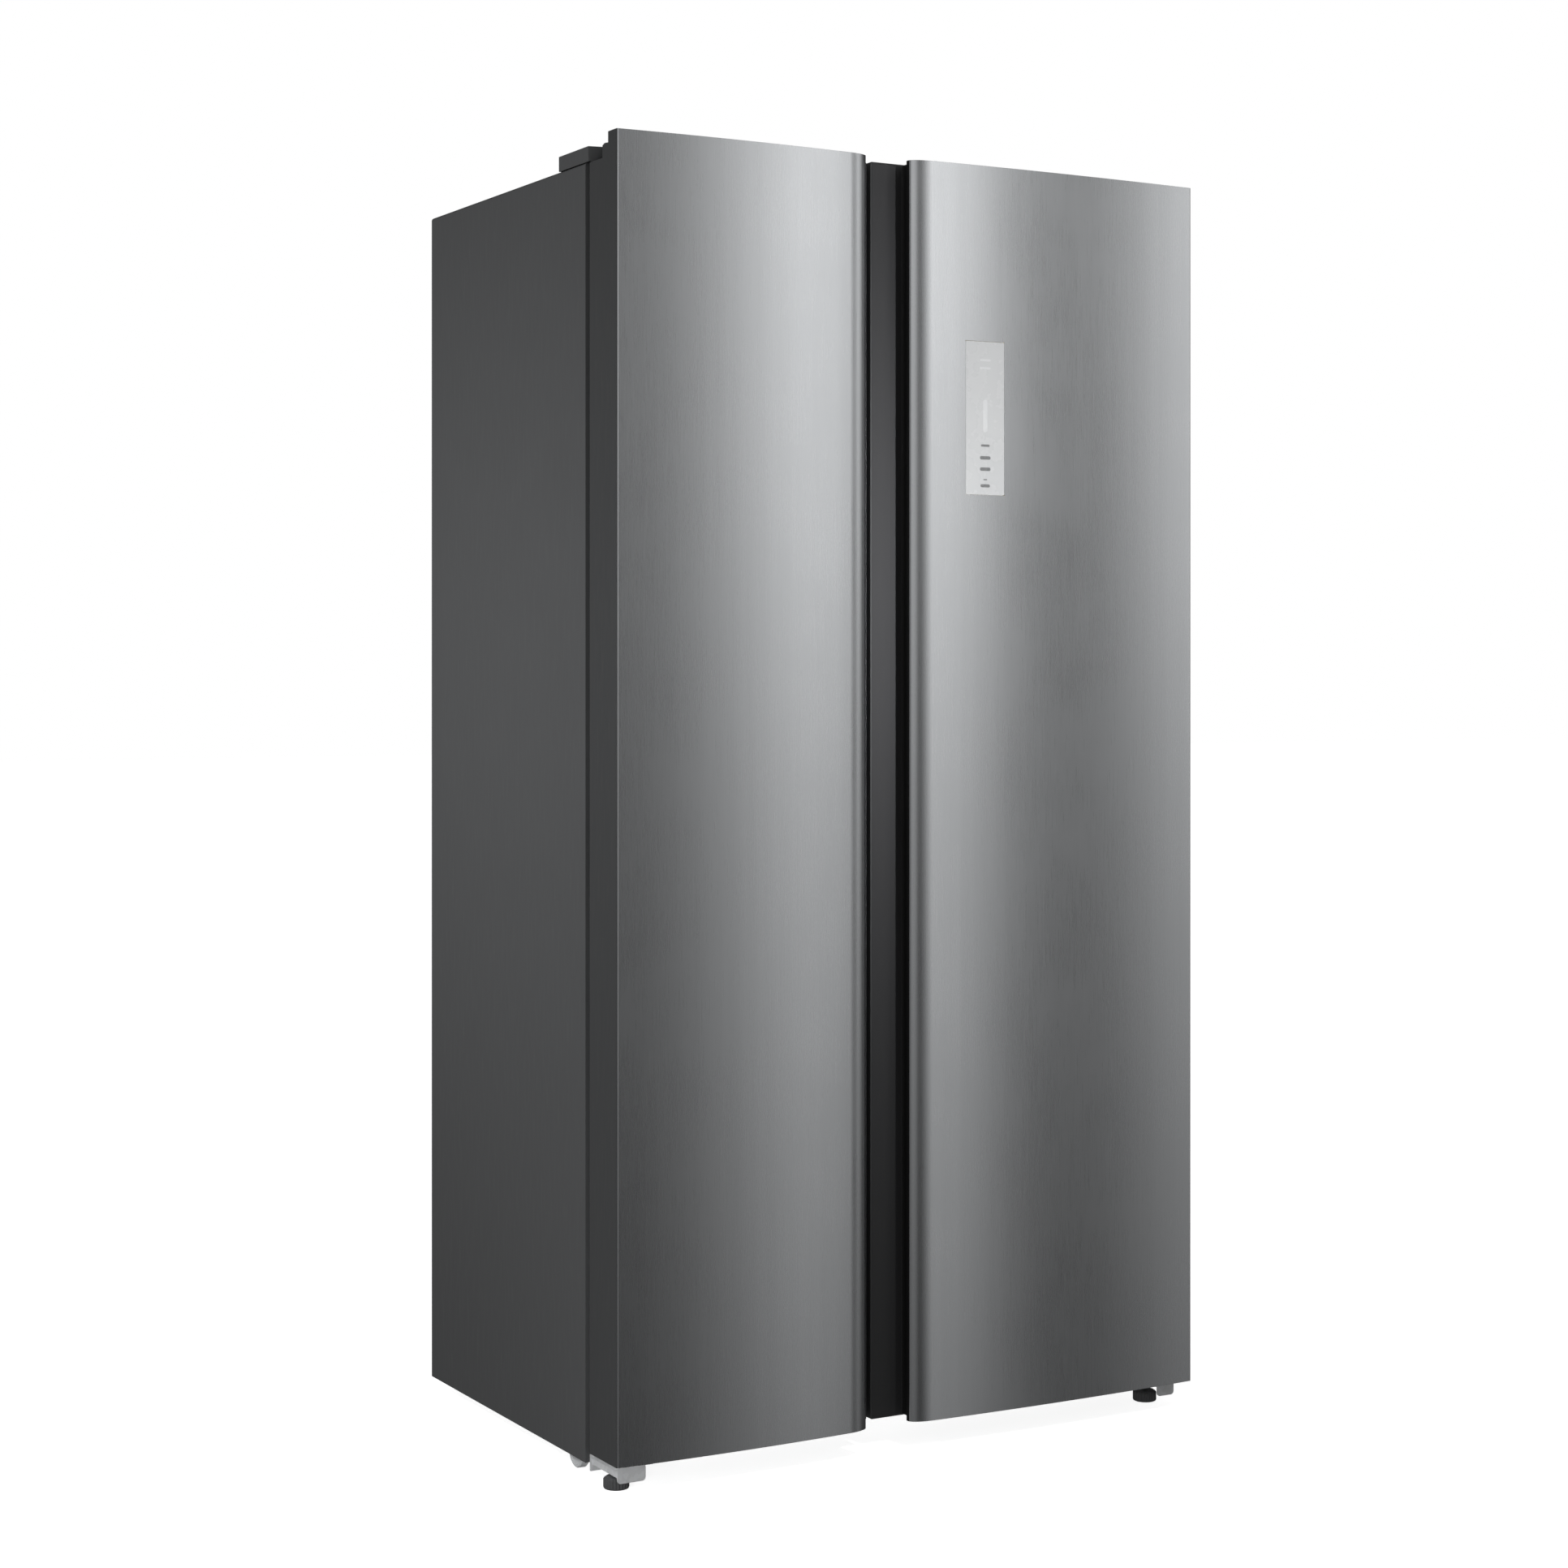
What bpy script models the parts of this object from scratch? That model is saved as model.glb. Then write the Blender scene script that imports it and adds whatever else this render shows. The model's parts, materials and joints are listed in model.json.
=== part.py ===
"""Side by side refrigerator: a cabinet with a freezer on the left, a fridge on the right and a door for each.

Metres, +Z up. The origin is on the floor under the middle of the object, and the doors face -Y.
Places on a door are given as u, the distance from its outer side, and v, the distance behind its front.
"""

import math
from collections import namedtuple

import bmesh
import bpy
from mathutils import Matrix, Vector

# Overall sizes
WIDTH = 0.915
HALF = WIDTH / 2
CABINET_BOTTOM = 0.021
CABINET_TOP = 1.7165
DOOR_BOTTOM = 0.036
DOOR_TOP = 1.746
DOOR_FRONT = -0.311
DOOR_BOW = 0.006
CABINET_FRONT = DOOR_FRONT + 0.0926
CABINET_BACK = 0.305
REAR_LIMIT = 0.317
GAP = 0.0003

# Doors
SKIN = 0.001
SIDE_CORNER = 0.003
GRIP_REACH = 0.032
GRIP_DROP = 0.013
HEM_DEPTH = 0.0165
HEM_WIDTH = 0.012
RECESS_DEPTH = 0.040
POCKET = 0.010
TRIM = 0.0025
SKIN_BACK = 0.0800
CONTENT_BACK = 0.0777
LINER_FACE = 0.0780
LINER_SHEET = 0.0018
DIKE_TOP = 0.118
DIKE_WIDTH = 0.028
DIKE_HINGE_SIDE = 0.052
DIKE_BOTTOM = 0.114
DIKE_HIGH = 1.6645
GASKET_WIDTH = 0.015
GASKET_BACK = 0.0921
PIN_U = 0.020
PIN_V = 0.055
PIN_RADIUS = 0.004
PIN_BORE = 0.0043
POCKET_TOP = 1.7145
STEP_TOP = 1.731
LIP_DEPTH = 0.0254
STEP_DEPTH = 0.042
HINGE_POCKET = 0.100
CAP_HEIGHT = 0.028

# Cabinet
SHEET = 0.0012
CLEARANCE = 0.0004
FLANGE = 0.022
WALL = 0.046
SPLIT_X = -0.0575
MULLION = 0.050
RAIL_WIDTH = 0.049
APRON_TOP = 0.104
LINER = 0.0018
FLOOR_Z = 0.108
CEILING_Z = 1.6715
INNER_BACK = 0.253
STEP_Y = 0.0535
STEP_Z = 0.317
BAY_FRONT = 0.0985
BAY_TOP = 0.272
PAN_Z = 0.058
PLATE_Z = 0.046
SHELF_FRONT = -0.096
RIB_WIDTH = 0.008

Door = namedtuple("Door", "name side width grip dike_free bins")
FREEZER_DOOR = Door("freezer_door", -1, 0.397, 0.3775, 0.368, (0.86, 1.25))
FRIDGE_DOOR = Door("fridge_door", 1, 0.512, 0.4700, 0.483, (0.80, 1.08, 1.36))

Room = namedtuple("Room", "name low high duct_front shelves")
FREEZER = Room("freezer", -HALF + WALL, SPLIT_X - MULLION / 2, 0.205, (0.785, 1.185))
FRIDGE = Room("fridge", SPLIT_X + MULLION / 2, HALF - WALL, 0.225, (0.785, 1.085, 1.385))

# Each finish is a colour, a roughness and a metallic value.
FINISHES = {
    "painted_steel": ((0.085, 0.087, 0.090), 0.45, 0.3),
    "brushed_steel": ((0.46, 0.47, 0.48), 0.34, 1.0),
    "zinc_steel": ((0.55, 0.56, 0.57), 0.40, 0.9),
    "dark_plastic": ((0.035, 0.036, 0.038), 0.50, 0.0),
    "white_plastic": ((0.86, 0.87, 0.87), 0.45, 0.0),
    "grey_plastic": ((0.55, 0.56, 0.57), 0.50, 0.0),
    "clear_plastic": ((0.86, 0.90, 0.92), 0.15, 0.0),
    "shelf_glass": ((0.80, 0.88, 0.87), 0.05, 0.0),
    "display_glass": ((0.70, 0.71, 0.72), 0.15, 0.0),
    "rubber": ((0.05, 0.05, 0.052), 0.80, 0.0),
    "foam": ((0.80, 0.72, 0.50), 0.90, 0.0),
    "black_enamel": ((0.02, 0.02, 0.022), 0.35, 0.3),
    "aluminium": ((0.75, 0.76, 0.77), 0.35, 0.9),
    "copper": ((0.60, 0.30, 0.18), 0.35, 1.0),
}

# The two directions of an outline's plane, and the direction that it is extruded in.
PLANES = {"X": (1, 2, 0), "Y": (0, 2, 1), "Z": (0, 1, 2)}


def clear_scene():
    for found in list(bpy.data.objects):
        bpy.data.objects.remove(found, do_unlink=True)


# Shapes


def mesh_from(builder):
    bmesh.ops.recalc_face_normals(builder, faces=builder.faces)
    mesh = bpy.data.meshes.new("shape")
    builder.to_mesh(mesh)
    builder.free()
    return mesh


def placed(axis, a, b, along):
    """A point given in the plane across an axis and along that axis."""
    point = [0.0, 0.0, 0.0]
    first, second, third = PLANES[axis]
    point[first] = a
    point[second] = b
    point[third] = along
    return point


def prism(outline, axis, low, high):
    builder = bmesh.new()
    rings = [[builder.verts.new(placed(axis, a, b, level)) for a, b in outline] for level in (low, high)]
    for ring in rings:
        builder.faces.new(ring)
    for i in range(len(outline)):
        builder.faces.new((rings[0][i - 1], rings[0][i], rings[1][i], rings[1][i - 1]))
    return mesh_from(builder)


def block(x, y, z):
    """A box, from a low and a high value along each axis."""
    low_x, high_x = sorted(x)
    return prism([(low_x, y[0]), (high_x, y[0]), (high_x, y[1]), (low_x, y[1])], "Z", z[0], z[1])


def arc(centre, radius, start, end, steps):
    """Points on a circle from one angle to another, in degrees."""
    angles = [math.radians(start + (end - start) * i / steps) for i in range(steps + 1)]
    return [(centre[0] + radius * math.cos(t), centre[1] + radius * math.sin(t)) for t in angles]


def circle(centre, radius, sides=24):
    return arc(centre, radius, 0, 360, sides)[:-1]


def rod(axis, centre, radius, low, high, sides=24):
    return prism(circle(centre, radius, sides), axis, low, high)


def rounded(low_a, high_a, low_b, high_b, radius, steps=4):
    """A rectangle with round corners."""
    points = arc((high_a - radius, high_b - radius), radius, 0, 90, steps)
    points += arc((low_a + radius, high_b - radius), radius, 90, 180, steps)
    points += arc((low_a + radius, low_b + radius), radius, 180, 270, steps)
    points += arc((high_a - radius, low_b + radius), radius, 270, 360, steps)
    return points


def turned(profile, axis, centre, sides=32):
    """A closed profile of (radius, along) points spun round an axis. Points on the axis become poles."""
    builder = bmesh.new()
    rings = []
    for radius, along in profile:
        count = sides if radius > 0 else 1
        turns = [2 * math.pi * i / sides for i in range(count)]
        spots = [(centre[0] + radius * math.cos(t), centre[1] + radius * math.sin(t)) for t in turns]
        rings.append([builder.verts.new(placed(axis, a, b, along)) for a, b in spots])
    for ring, following in zip(rings, rings[1:] + rings[:1]):
        if len(ring) == 1 and len(following) == 1:
            continue
        for i in range(sides):
            corners = [ring[i % len(ring)], ring[(i + 1) % len(ring)]]
            corners += [following[(i + 1) % len(following)], following[i % len(following)]]
            builder.faces.new(list(dict.fromkeys(corners)))
    return mesh_from(builder)


def joined(*meshes):
    """Separate shapes that don't touch, as one mesh."""
    builder = bmesh.new()
    for mesh in meshes:
        builder.from_mesh(mesh)
    return mesh_from(builder)


# Pieces


def material(name, finish):
    colour, roughness, metallic = FINISHES[finish]
    made = bpy.data.materials.new(name)
    made.use_nodes = True
    shader = made.node_tree.nodes["Principled BSDF"]
    shader.inputs["Base Color"].default_value = (*colour, 1.0)
    shader.inputs["Roughness"].default_value = roughness
    shader.inputs["Metallic"].default_value = metallic
    made.diffuse_color = (*colour, 1.0)
    return made


def combine(piece, operation, meshes):
    for mesh in meshes:
        tool = bpy.data.objects.new(f"{piece.name}_tool", mesh)
        tool.hide_render = True
        tool.display_type = "WIRE"
        bpy.context.scene.collection.objects.link(tool)
        modifier = piece.modifiers.new(operation.title(), "BOOLEAN")
        modifier.operation = operation
        modifier.object = tool


def make(name, finish, shapes, cuts=(), additions=(), pivot=None):
    """A piece: its shapes joined, the cuts taken away, the additions joined, hung on a pivot if it moves."""
    piece = bpy.data.objects.new(name, shapes[0])
    bpy.context.scene.collection.objects.link(piece)
    piece.data.shade_smooth()
    piece.data.set_sharp_from_angle(angle=math.radians(35))
    piece.data.materials.append(material(name, finish))
    combine(piece, "UNION", shapes[1:])
    combine(piece, "DIFFERENCE", cuts)
    combine(piece, "UNION", additions)
    if pivot:
        piece.parent = pivot
        piece.matrix_parent_inverse = Matrix.Translation(-pivot.location)
    return piece


def pivot_at(name, location):
    pivot = bpy.data.objects.new(name, None)
    pivot.empty_display_size = 0.03
    pivot.location = location
    bpy.context.scene.collection.objects.link(pivot)
    return pivot


def side_x(side, u):
    """The x of a place u in from the left side, -1, or the right side, 1."""
    return side * (HALF - u)


def side_name(side):
    return "left" if side < 0 else "right"


def span(side, low, high):
    return sorted((side_x(side, low), side_x(side, high)))


# Cabinet shell


WRAP_CORNER = 0.004


def make_cabinet_wrap():
    level = CABINET_TOP - WRAP_CORNER
    outer = [(-HALF, CABINET_BOTTOM)]
    outer += arc((-HALF + WRAP_CORNER, level), WRAP_CORNER, 180, 90, 4)
    outer += arc((HALF - WRAP_CORNER, level), WRAP_CORNER, 90, 0, 4)
    outer += [(HALF, CABINET_BOTTOM)]
    inside = HALF - SHEET
    opening = HALF - FLANGE
    hollow = block((-inside, inside), (CABINET_FRONT + SHEET, CABINET_BACK + 0.01), (0, CABINET_TOP - SHEET))
    mouth = (CABINET_FRONT - 0.01, CABINET_FRONT + 0.01)
    front = block((-opening, opening), mouth, (0, CABINET_TOP - FLANGE))
    shell = prism(outer, "Y", CABINET_FRONT, CABINET_BACK)
    make("cabinet_wrap", "painted_steel", [shell], [hollow, front])


def roller_mount(side, u_wheel, y, z, width, top):
    """The ear, axle and retaining head that a roller turns on."""
    ear_x = span(side, u_wheel + width + 0.0005, u_wheel + width + 0.0025)
    ear = block(ear_x, (y - 0.014, y + 0.014), (z - 0.010, top))
    low, high = span(side, u_wheel - 0.0010, u_wheel + width + 0.0015)
    axle = rod("X", (y, z), PIN_RADIUS, low, high)
    low, high = span(side, u_wheel - 0.0020, u_wheel - 0.0005)
    head = rod("X", (y, z), 0.007, low, high)
    return [ear, axle, head]


FRONT_ROLLER = {"u": 0.006, "y": DOOR_FRONT + 0.136, "z": 0.0235}
REAR_ROLLER = {"u": 0.066, "y": 0.265, "z": 0.020}
ROLLER_RADIUS = 0.020
ROLLER_WIDTH = 0.012
PAN_SHEET = 0.0015


def make_base_pan():
    inside = HALF - SHEET - CLEARANCE
    opening = HALF - FLANGE - GAP
    back = BAY_FRONT + PAN_SHEET
    plate = block((-inside, inside), (CABINET_FRONT + SHEET + GAP, back), (PAN_Z, PAN_Z + PAN_SHEET))
    apron = block((-opening, opening), (CABINET_FRONT, CABINET_FRONT + 0.0020), (0.030, APRON_TOP))
    wall = block((-inside, inside), (BAY_FRONT, back), (PAN_Z + 0.0002, BAY_TOP))
    ceiling = block((-inside, inside), (BAY_FRONT + 0.0002, 0.3025), (BAY_TOP - PAN_SHEET, BAY_TOP - 0.0001))
    mounts = []
    for side in (-1, 1):
        at = FRONT_ROLLER
        mounts += roller_mount(side, at["u"], at["y"], at["z"], ROLLER_WIDTH, PAN_Z + 0.001)
    make("base_pan", "zinc_steel", [plate, apron, wall, ceiling] + mounts)


def make_compressor_base():
    inside = HALF - SHEET - CLEARANCE
    plate = block((-inside, inside), (BAY_FRONT + 0.0100, 0.3000), (PLATE_Z, PLATE_Z + 0.002))
    rim = block((-inside + 0.001, inside - 0.001), (0.2985, 0.3000), (PLATE_Z - 0.010, PLATE_Z + 0.001))
    mounts = []
    for side in (-1, 1):
        at = REAR_ROLLER
        mounts += roller_mount(side, at["u"], at["y"], at["z"], ROLLER_WIDTH, PLATE_Z + 0.001)
    post = block((0.022, 0.026), (0.170, 0.230), (PLATE_Z + 0.001, FAN_Z + 0.030))
    motor = rod("X", (FAN_Y, FAN_Z), 0.022, 0.006, 0.046)
    shaft = rod("X", (FAN_Y, FAN_Z), 0.003, -0.034, 0.007, 16)
    make("compressor_base", "zinc_steel", [plate, rim, post, motor, shaft] + mounts)


def make_rollers():
    for place, at in (("front", FRONT_ROLLER), ("rear", REAR_ROLLER)):
        for side in (-1, 1):
            low, high = span(side, at["u"], at["u"] + ROLLER_WIDTH)
            r = ROLLER_RADIUS
            profile = [(PIN_BORE, low), (r - 0.0015, low), (r, low + 0.0015), (r, high - 0.0015)]
            profile += [(r - 0.0015, high), (PIN_BORE, high)]
            name = f"{place}_roller_{side_name(side)}"
            pivot = pivot_at(f"{name}_axle", (side_x(side, at["u"]), at["y"], at["z"]))
            make(name, "grey_plastic", [turned(profile, "X", (at["y"], at["z"]), 36)], pivot=pivot)


def make_rear_panel():
    inside = HALF - SHEET - CLEARANCE
    panel = block((-inside, inside), (0.3035, 0.3045), (BAY_TOP + 0.003, CABINET_TOP - SHEET - CLEARANCE))
    make("rear_panel", "painted_steel", [panel])


def room_profile(inset, front):
    """A compartment's side view, grown by a thickness, with the step over the machine bay."""
    low = FLOOR_Z - inset
    step = STEP_Z - inset
    high = CEILING_Z + inset
    back = INNER_BACK + inset
    wall = STEP_Y + inset
    return [(front, low), (wall, low), (wall, step), (back, step), (back, high), (front, high)]


def room_hollow(room, inset, front):
    return prism(room_profile(inset, front), "X", room.low - inset, room.high + inset)


def make_cabinet_foam():
    inside = HALF - SHEET - CLEARANCE
    top = CABINET_TOP - SHEET - CLEARANCE
    core = block((-inside, inside), (CABINET_FRONT + 0.0037, 0.3030), (PAN_Z + PAN_SHEET + GAP, top))
    bay = block((-HALF, HALF), (BAY_FRONT - GAP, CABINET_BACK), (0, BAY_TOP + GAP))
    rooms = [room_hollow(room, LINER + GAP, CABINET_FRONT - 0.02) for room in (FREEZER, FRIDGE)]
    make("cabinet_foam", "foam", [core], [bay] + rooms)


def ribs(room, levels):
    """Ledges on both side walls that shelves and drawers rest on, each with its top at a level."""
    back = room.duct_front - 0.012
    left = (room.low - 0.001, room.low + RIB_WIDTH)
    right = (room.high - RIB_WIDTH, room.high + 0.001)
    found = []
    for level in levels:
        for wall in (left, right):
            found.append(block(wall, (SHELF_FRONT + 0.018, back), (level - 0.006, level)))
    return joined(*found)


DRAWERS = {"lower": (0.114, 0.520), "upper": (0.545, 0.765)}
RIM = 0.004


def make_liner(room, flange_low, flange_high):
    shell = room_hollow(room, LINER, CABINET_FRONT + 0.0026)
    front = CABINET_FRONT + 0.0023
    flange = block((flange_low, flange_high), (front, front + 0.0011), (0.090, 1.7065))
    hollow = room_hollow(room, 0, CABINET_FRONT - 0.02)
    levels = list(room.shelves) + [top - RIM - GAP for _, top in DRAWERS.values()]
    make(f"{room.name}_liner", "white_plastic", [shell, flange], [hollow], [ribs(room, levels)])


def make_mullion_rail():
    half = RAIL_WIDTH / 2
    rail = block((SPLIT_X - half, SPLIT_X + half), (CABINET_FRONT, CABINET_FRONT + 0.0012),
                 (APRON_TOP + GAP, CABINET_TOP - FLANGE - GAP))
    make("mullion_rail", "painted_steel", [rail])


# Hinges and feet

FEET = {-1: (0.0175, 0.037), 1: (0.038, 0.060)}
STUD_RADIUS = 0.0045
PLATE_FRONTS = {-1: 0.0170, 1: 0.0345}
BRACKET_FLANGES = {-1: (0.0095, 0.050), 1: (0.005, 0.034)}
BRACKET_Z = (0.0295, 0.0325)


def plan(side, points):
    """Places (u, v) on a door, as x and y."""
    return [(side_x(side, u), DOOR_FRONT + v) for u, v in points]


def make_top_hinge(side):
    z = CABINET_TOP + GAP
    outline = arc((PIN_U, PIN_V), 0.0075, 180, 360, 8)
    outline += [(0.0275, 0.077), (0.034, 0.086), (0.058, 0.100), (0.058, 0.160)]
    outline += [(0.012, 0.160), (0.012, 0.100), (0.0225, 0.084)]
    plate = prism(plan(side, outline), "Z", z, z + 0.003)
    pin = rod("Z", plan(side, [(PIN_U, PIN_V)])[0], PIN_RADIUS, CABINET_TOP - 0.022, z + 0.002)
    spots = plan(side, [(0.022, 0.112), (0.050, 0.112), (0.036, 0.148)])
    bolts = [rod("Z", spot, 0.0055, z + 0.002, z + 0.007, 6) for spot in spots]
    make(f"top_hinge_{side_name(side)}", "zinc_steel", [plate, pin] + bolts)


def cover_outline(inset):
    """The hinge cover in plan: a box flush with the cabinet's side, with a round nose over the pin."""
    nose = arc((PIN_U, PIN_V), 0.011 - inset, 180, 360, 10)
    right = 0.080 - inset
    back = 0.175 - inset
    points = nose + [(0.031 - inset, 0.076), (0.060, 0.078 + inset), (right, 0.095), (right, back)]
    points += [(inset, back), (inset, 0.084 + inset), (0.0185 + inset, 0.080 + inset)]
    return points + [(0.012 + inset, 0.064)]


def make_hinge_cover(side):
    z = CABINET_TOP + GAP
    top = CABINET_TOP + 0.020
    outer = prism(plan(side, cover_outline(0)), "Z", z, top)
    hollow = prism(plan(side, cover_outline(0.0018)), "Z", z - 0.01, top - 0.0018)
    make(f"hinge_cover_{side_name(side)}", "painted_steel", [outer], [hollow])


def make_bottom_hinge(side):
    """A bracket with a pin for the door, folded down at its front and, on the left, at its outer side too."""
    under, top = BRACKET_Z
    front = PLATE_FRONTS[side]
    plate = prism(plan(side, rounded(0.006, 0.062, front, 0.0920, 0.003)), "Z", under, top)
    mount = block(span(side, 0.006, 0.062), (DOOR_FRONT + 0.0895, DOOR_FRONT + 0.0922), (0.010, top - 0.001))
    low, high = BRACKET_FLANGES[side]
    low_x, high_x = span(side, low, high)
    outline = rounded(low_x, high_x, 0.010, top - 0.0007, 0.005)
    shapes = [plate, mount, prism(outline, "Y", DOOR_FRONT + front, DOOR_FRONT + front + 0.0022)]
    if side < 0:
        outer = (DOOR_FRONT + front + 0.001, DOOR_FRONT + 0.0900)
        shapes.append(block(span(side, low, low + 0.0020), outer, (0.0178, top - 0.001)))
    pin_spot, foot = plan(side, [(PIN_U, PIN_V), FEET[side]])
    shapes.append(rod("Z", pin_spot, 0.0080, 0.0195, under + 0.001))
    pin = rod("Z", pin_spot, PIN_RADIUS, top - 0.0015, 0.0560)
    hole = rod("Z", foot, STUD_RADIUS + GAP, 0.0, top + 0.0015)
    make(f"bottom_hinge_{side_name(side)}", "zinc_steel", shapes, [hole], [pin])


def make_levelling_foot(side):
    foot = plan(side, [FEET[side]])[0]
    profile = [(0, 0), (0.0155, 0), (0.017, 0.0015), (0.017, 0.0125), (0.0145, 0.0155), (STUD_RADIUS, 0.0170)]
    profile += [(STUD_RADIUS, 0.0335), (STUD_RADIUS - 0.0008, 0.0343), (0, 0.0343)]
    name = f"levelling_foot_{side_name(side)}"
    pivot = pivot_at(f"{name}_screw", (foot[0], foot[1], 0.0))
    make(name, "dark_plastic", [turned(profile, "Z", foot, 32)], pivot=pivot)


# Inside the compartments


def make_shelf(room, number, level):
    plate = block((room.low + 0.002, room.high - 0.002), (SHELF_FRONT, room.duct_front - 0.004),
                  (level + GAP, level + 0.005))
    lip = block((room.low + 0.003, room.high - 0.003), (SHELF_FRONT - 0.004, SHELF_FRONT + 0.008),
                (level - 0.004, level + 0.009))
    make(f"{room.name}_shelf_{number}", "shelf_glass", [plate, lip])


def drawer_profile(place, back, inset):
    low, high = DRAWERS[place]
    front = SHELF_FRONT + inset
    if place == "upper":
        rear = back - inset
        return [(front, low + inset), (rear, low + inset), (rear, high + inset), (front, high + inset)]
    step = STEP_Y - 0.008 - inset
    ledge = STEP_Z + 0.008 + inset
    points = [(front, low + inset), (step, low + inset), (step, ledge), (back - inset, ledge)]
    return points + [(back - inset, high + inset), (front, high + inset)]


def make_drawer(room, place):
    low, high = DRAWERS[place]
    back = room.duct_front - 0.010
    wall = 0.0025
    side = 0.011
    body = prism(drawer_profile(place, back, 0), "X", room.low + side, room.high - side)
    rim = block((room.low + 0.002, room.high - 0.002), (SHELF_FRONT + 0.015, back - 0.0005),
                (high - RIM, high - 0.0005))
    face = block((room.low + 0.004, room.high - 0.004), (SHELF_FRONT - 0.006, SHELF_FRONT + 0.004),
                 (low + 0.001, high + 0.004))
    hollow_profile = drawer_profile(place, back, wall)
    hollow_profile = [(max(y, SHELF_FRONT + 0.008), z) for y, z in hollow_profile]
    hollow = prism(hollow_profile, "X", room.low + side + wall, room.high - side - wall)
    middle = (room.low + room.high) / 2
    grip = prism(rounded(middle - 0.06, middle + 0.06, high - 0.022, high + 0.03, 0.008), "Y",
                 SHELF_FRONT - 0.02, SHELF_FRONT + 0.02)
    name = f"{room.name}_drawer_{place}"
    pivot = pivot_at(f"{name}_slide", (middle, SHELF_FRONT, low))
    make(name, "clear_plastic", [body, rim, face], [hollow, grip], pivot=pivot)


FREEZER_FAN_Z = 1.500
FREEZER_FAN_Y = 0.222
FAN_GRILLE = 0.042


def duct_slots(room, levels):
    """Air outlets through a duct panel: two slots at each level."""
    middle = (room.low + room.high) / 2
    found = []
    for level in levels:
        for centre in (middle - 0.065, middle + 0.065):
            for row in (-0.012, 0.0, 0.012):
                depth = (room.duct_front - 0.02, room.duct_front + 0.01)
                height = (level + row - 0.003, level + row + 0.003)
                found.append(block((centre - 0.045, centre + 0.045), depth, height))
    return found


def fan_slots(room):
    middle = (room.low + room.high) / 2
    found = []
    for i in range(-3, 4):
        rise = i * 0.012
        half = math.sqrt(FAN_GRILLE**2 - rise**2)
        found.append(block((middle - half, middle + half), (room.duct_front - 0.02, room.duct_front + 0.01),
                           (FREEZER_FAN_Z + rise - 0.003, FREEZER_FAN_Z + rise + 0.003)))
    return found


def make_duct_panel(room, levels):
    low = room.low + 0.014
    high = room.high - 0.014
    front = room.duct_front
    bottom, top = 0.420, 1.610
    wall = 0.0025
    outer = block((low, high), (front, INNER_BACK - GAP), (bottom, top))
    hollow = block((low + wall, high - wall), (front + wall, INNER_BACK + 0.01), (bottom + wall, top - wall))
    cuts = [hollow]
    additions = []
    slots = duct_slots(room, levels)
    if room.name == "freezer":
        slots += fan_slots(room)
        middle = (low + high) / 2
        strut_z = (FREEZER_FAN_Z - 0.006, FREEZER_FAN_Z + 0.006)
        strut = block((low + 0.001, high - 0.001), (0.2430, 0.2515), strut_z)
        motor = rod("Y", (middle, FREEZER_FAN_Z), 0.015, 0.2370, 0.2510)
        shaft = rod("Y", (middle, FREEZER_FAN_Z), 0.002, 0.2150, 0.2380, 12)
        additions = [strut, motor, shaft]
    cuts.append(joined(*slots))
    make(f"{room.name}_duct_panel", "white_plastic", [outer], cuts, additions)


def make_evaporator():
    """Fins on a back plate, seen from above as a comb, over the height of the coil."""
    low = FREEZER.low + 0.030
    high = FREEZER.high - 0.030
    fins = 18
    pitch = (high - low) / fins
    outline = [(high, 0.246), (low, 0.246)]
    for i in range(fins):
        left = low + i * pitch
        outline += [(left, 0.214), (left + 0.0022, 0.214), (left + 0.0022, 0.240), (left + pitch, 0.240)]
    outline[-1] = (high - 0.0022, 0.240)
    outline += [(high - 0.0022, 0.214), (high, 0.214)]
    make("evaporator", "aluminium", [prism(outline, "Z", 0.55, 1.25)])


def fan_shape(axis, centre, start, length, hub, reach, bore, blades, pitch):
    """A hub with a bore and pitched blades, on an axis along X or Y."""
    body = rod(axis, centre, hub, start, start + length, 20)
    middle = Vector(placed(axis, centre[0], centre[1], start + length / 2))
    outward = Vector(placed(axis, 0, 1, 0))
    around = Vector(placed(axis, 1, 0, 0))
    along = Vector(placed(axis, 0, 0, 1))
    found = [body]
    for i in range(blades):
        low = middle + outward * (hub * 0.6)
        high = middle + outward * reach
        corners = [low - around * hub * 0.45, low + around * hub * 0.45]
        corners += [high + around * reach * 0.38, high - around * reach * 0.38]
        builder = bmesh.new()
        faces = []
        for offset in (-0.0006, 0.0006):
            faces.append([builder.verts.new(corner + along * offset) for corner in corners])
        for face in faces:
            builder.faces.new(face)
        for k in range(4):
            builder.faces.new((faces[0][k - 1], faces[0][k], faces[1][k], faces[1][k - 1]))
        blade = mesh_from(builder)
        spin = Matrix.Rotation(math.radians(pitch), 4, outward)
        turn = Matrix.Rotation(2 * math.pi * i / blades, 4, along)
        blade.transform(Matrix.Translation(middle) @ turn @ spin @ Matrix.Translation(-middle))
        found.append(blade)
    hole = rod(axis, centre, bore, start - 0.01, start + length + 0.01, 20)
    return found, [hole]


def make_evaporator_fan():
    middle = (FREEZER.low + FREEZER.high) / 2
    shapes, cuts = fan_shape("Y", (middle, FREEZER_FAN_Z), 0.2165, 0.0165, 0.011, 0.038, 0.0024, 5, 28)
    pivot = pivot_at("evaporator_fan_axis", (middle, 0.2247, FREEZER_FAN_Z))
    make("evaporator_fan", "grey_plastic", shapes, cuts, pivot=pivot)


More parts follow.
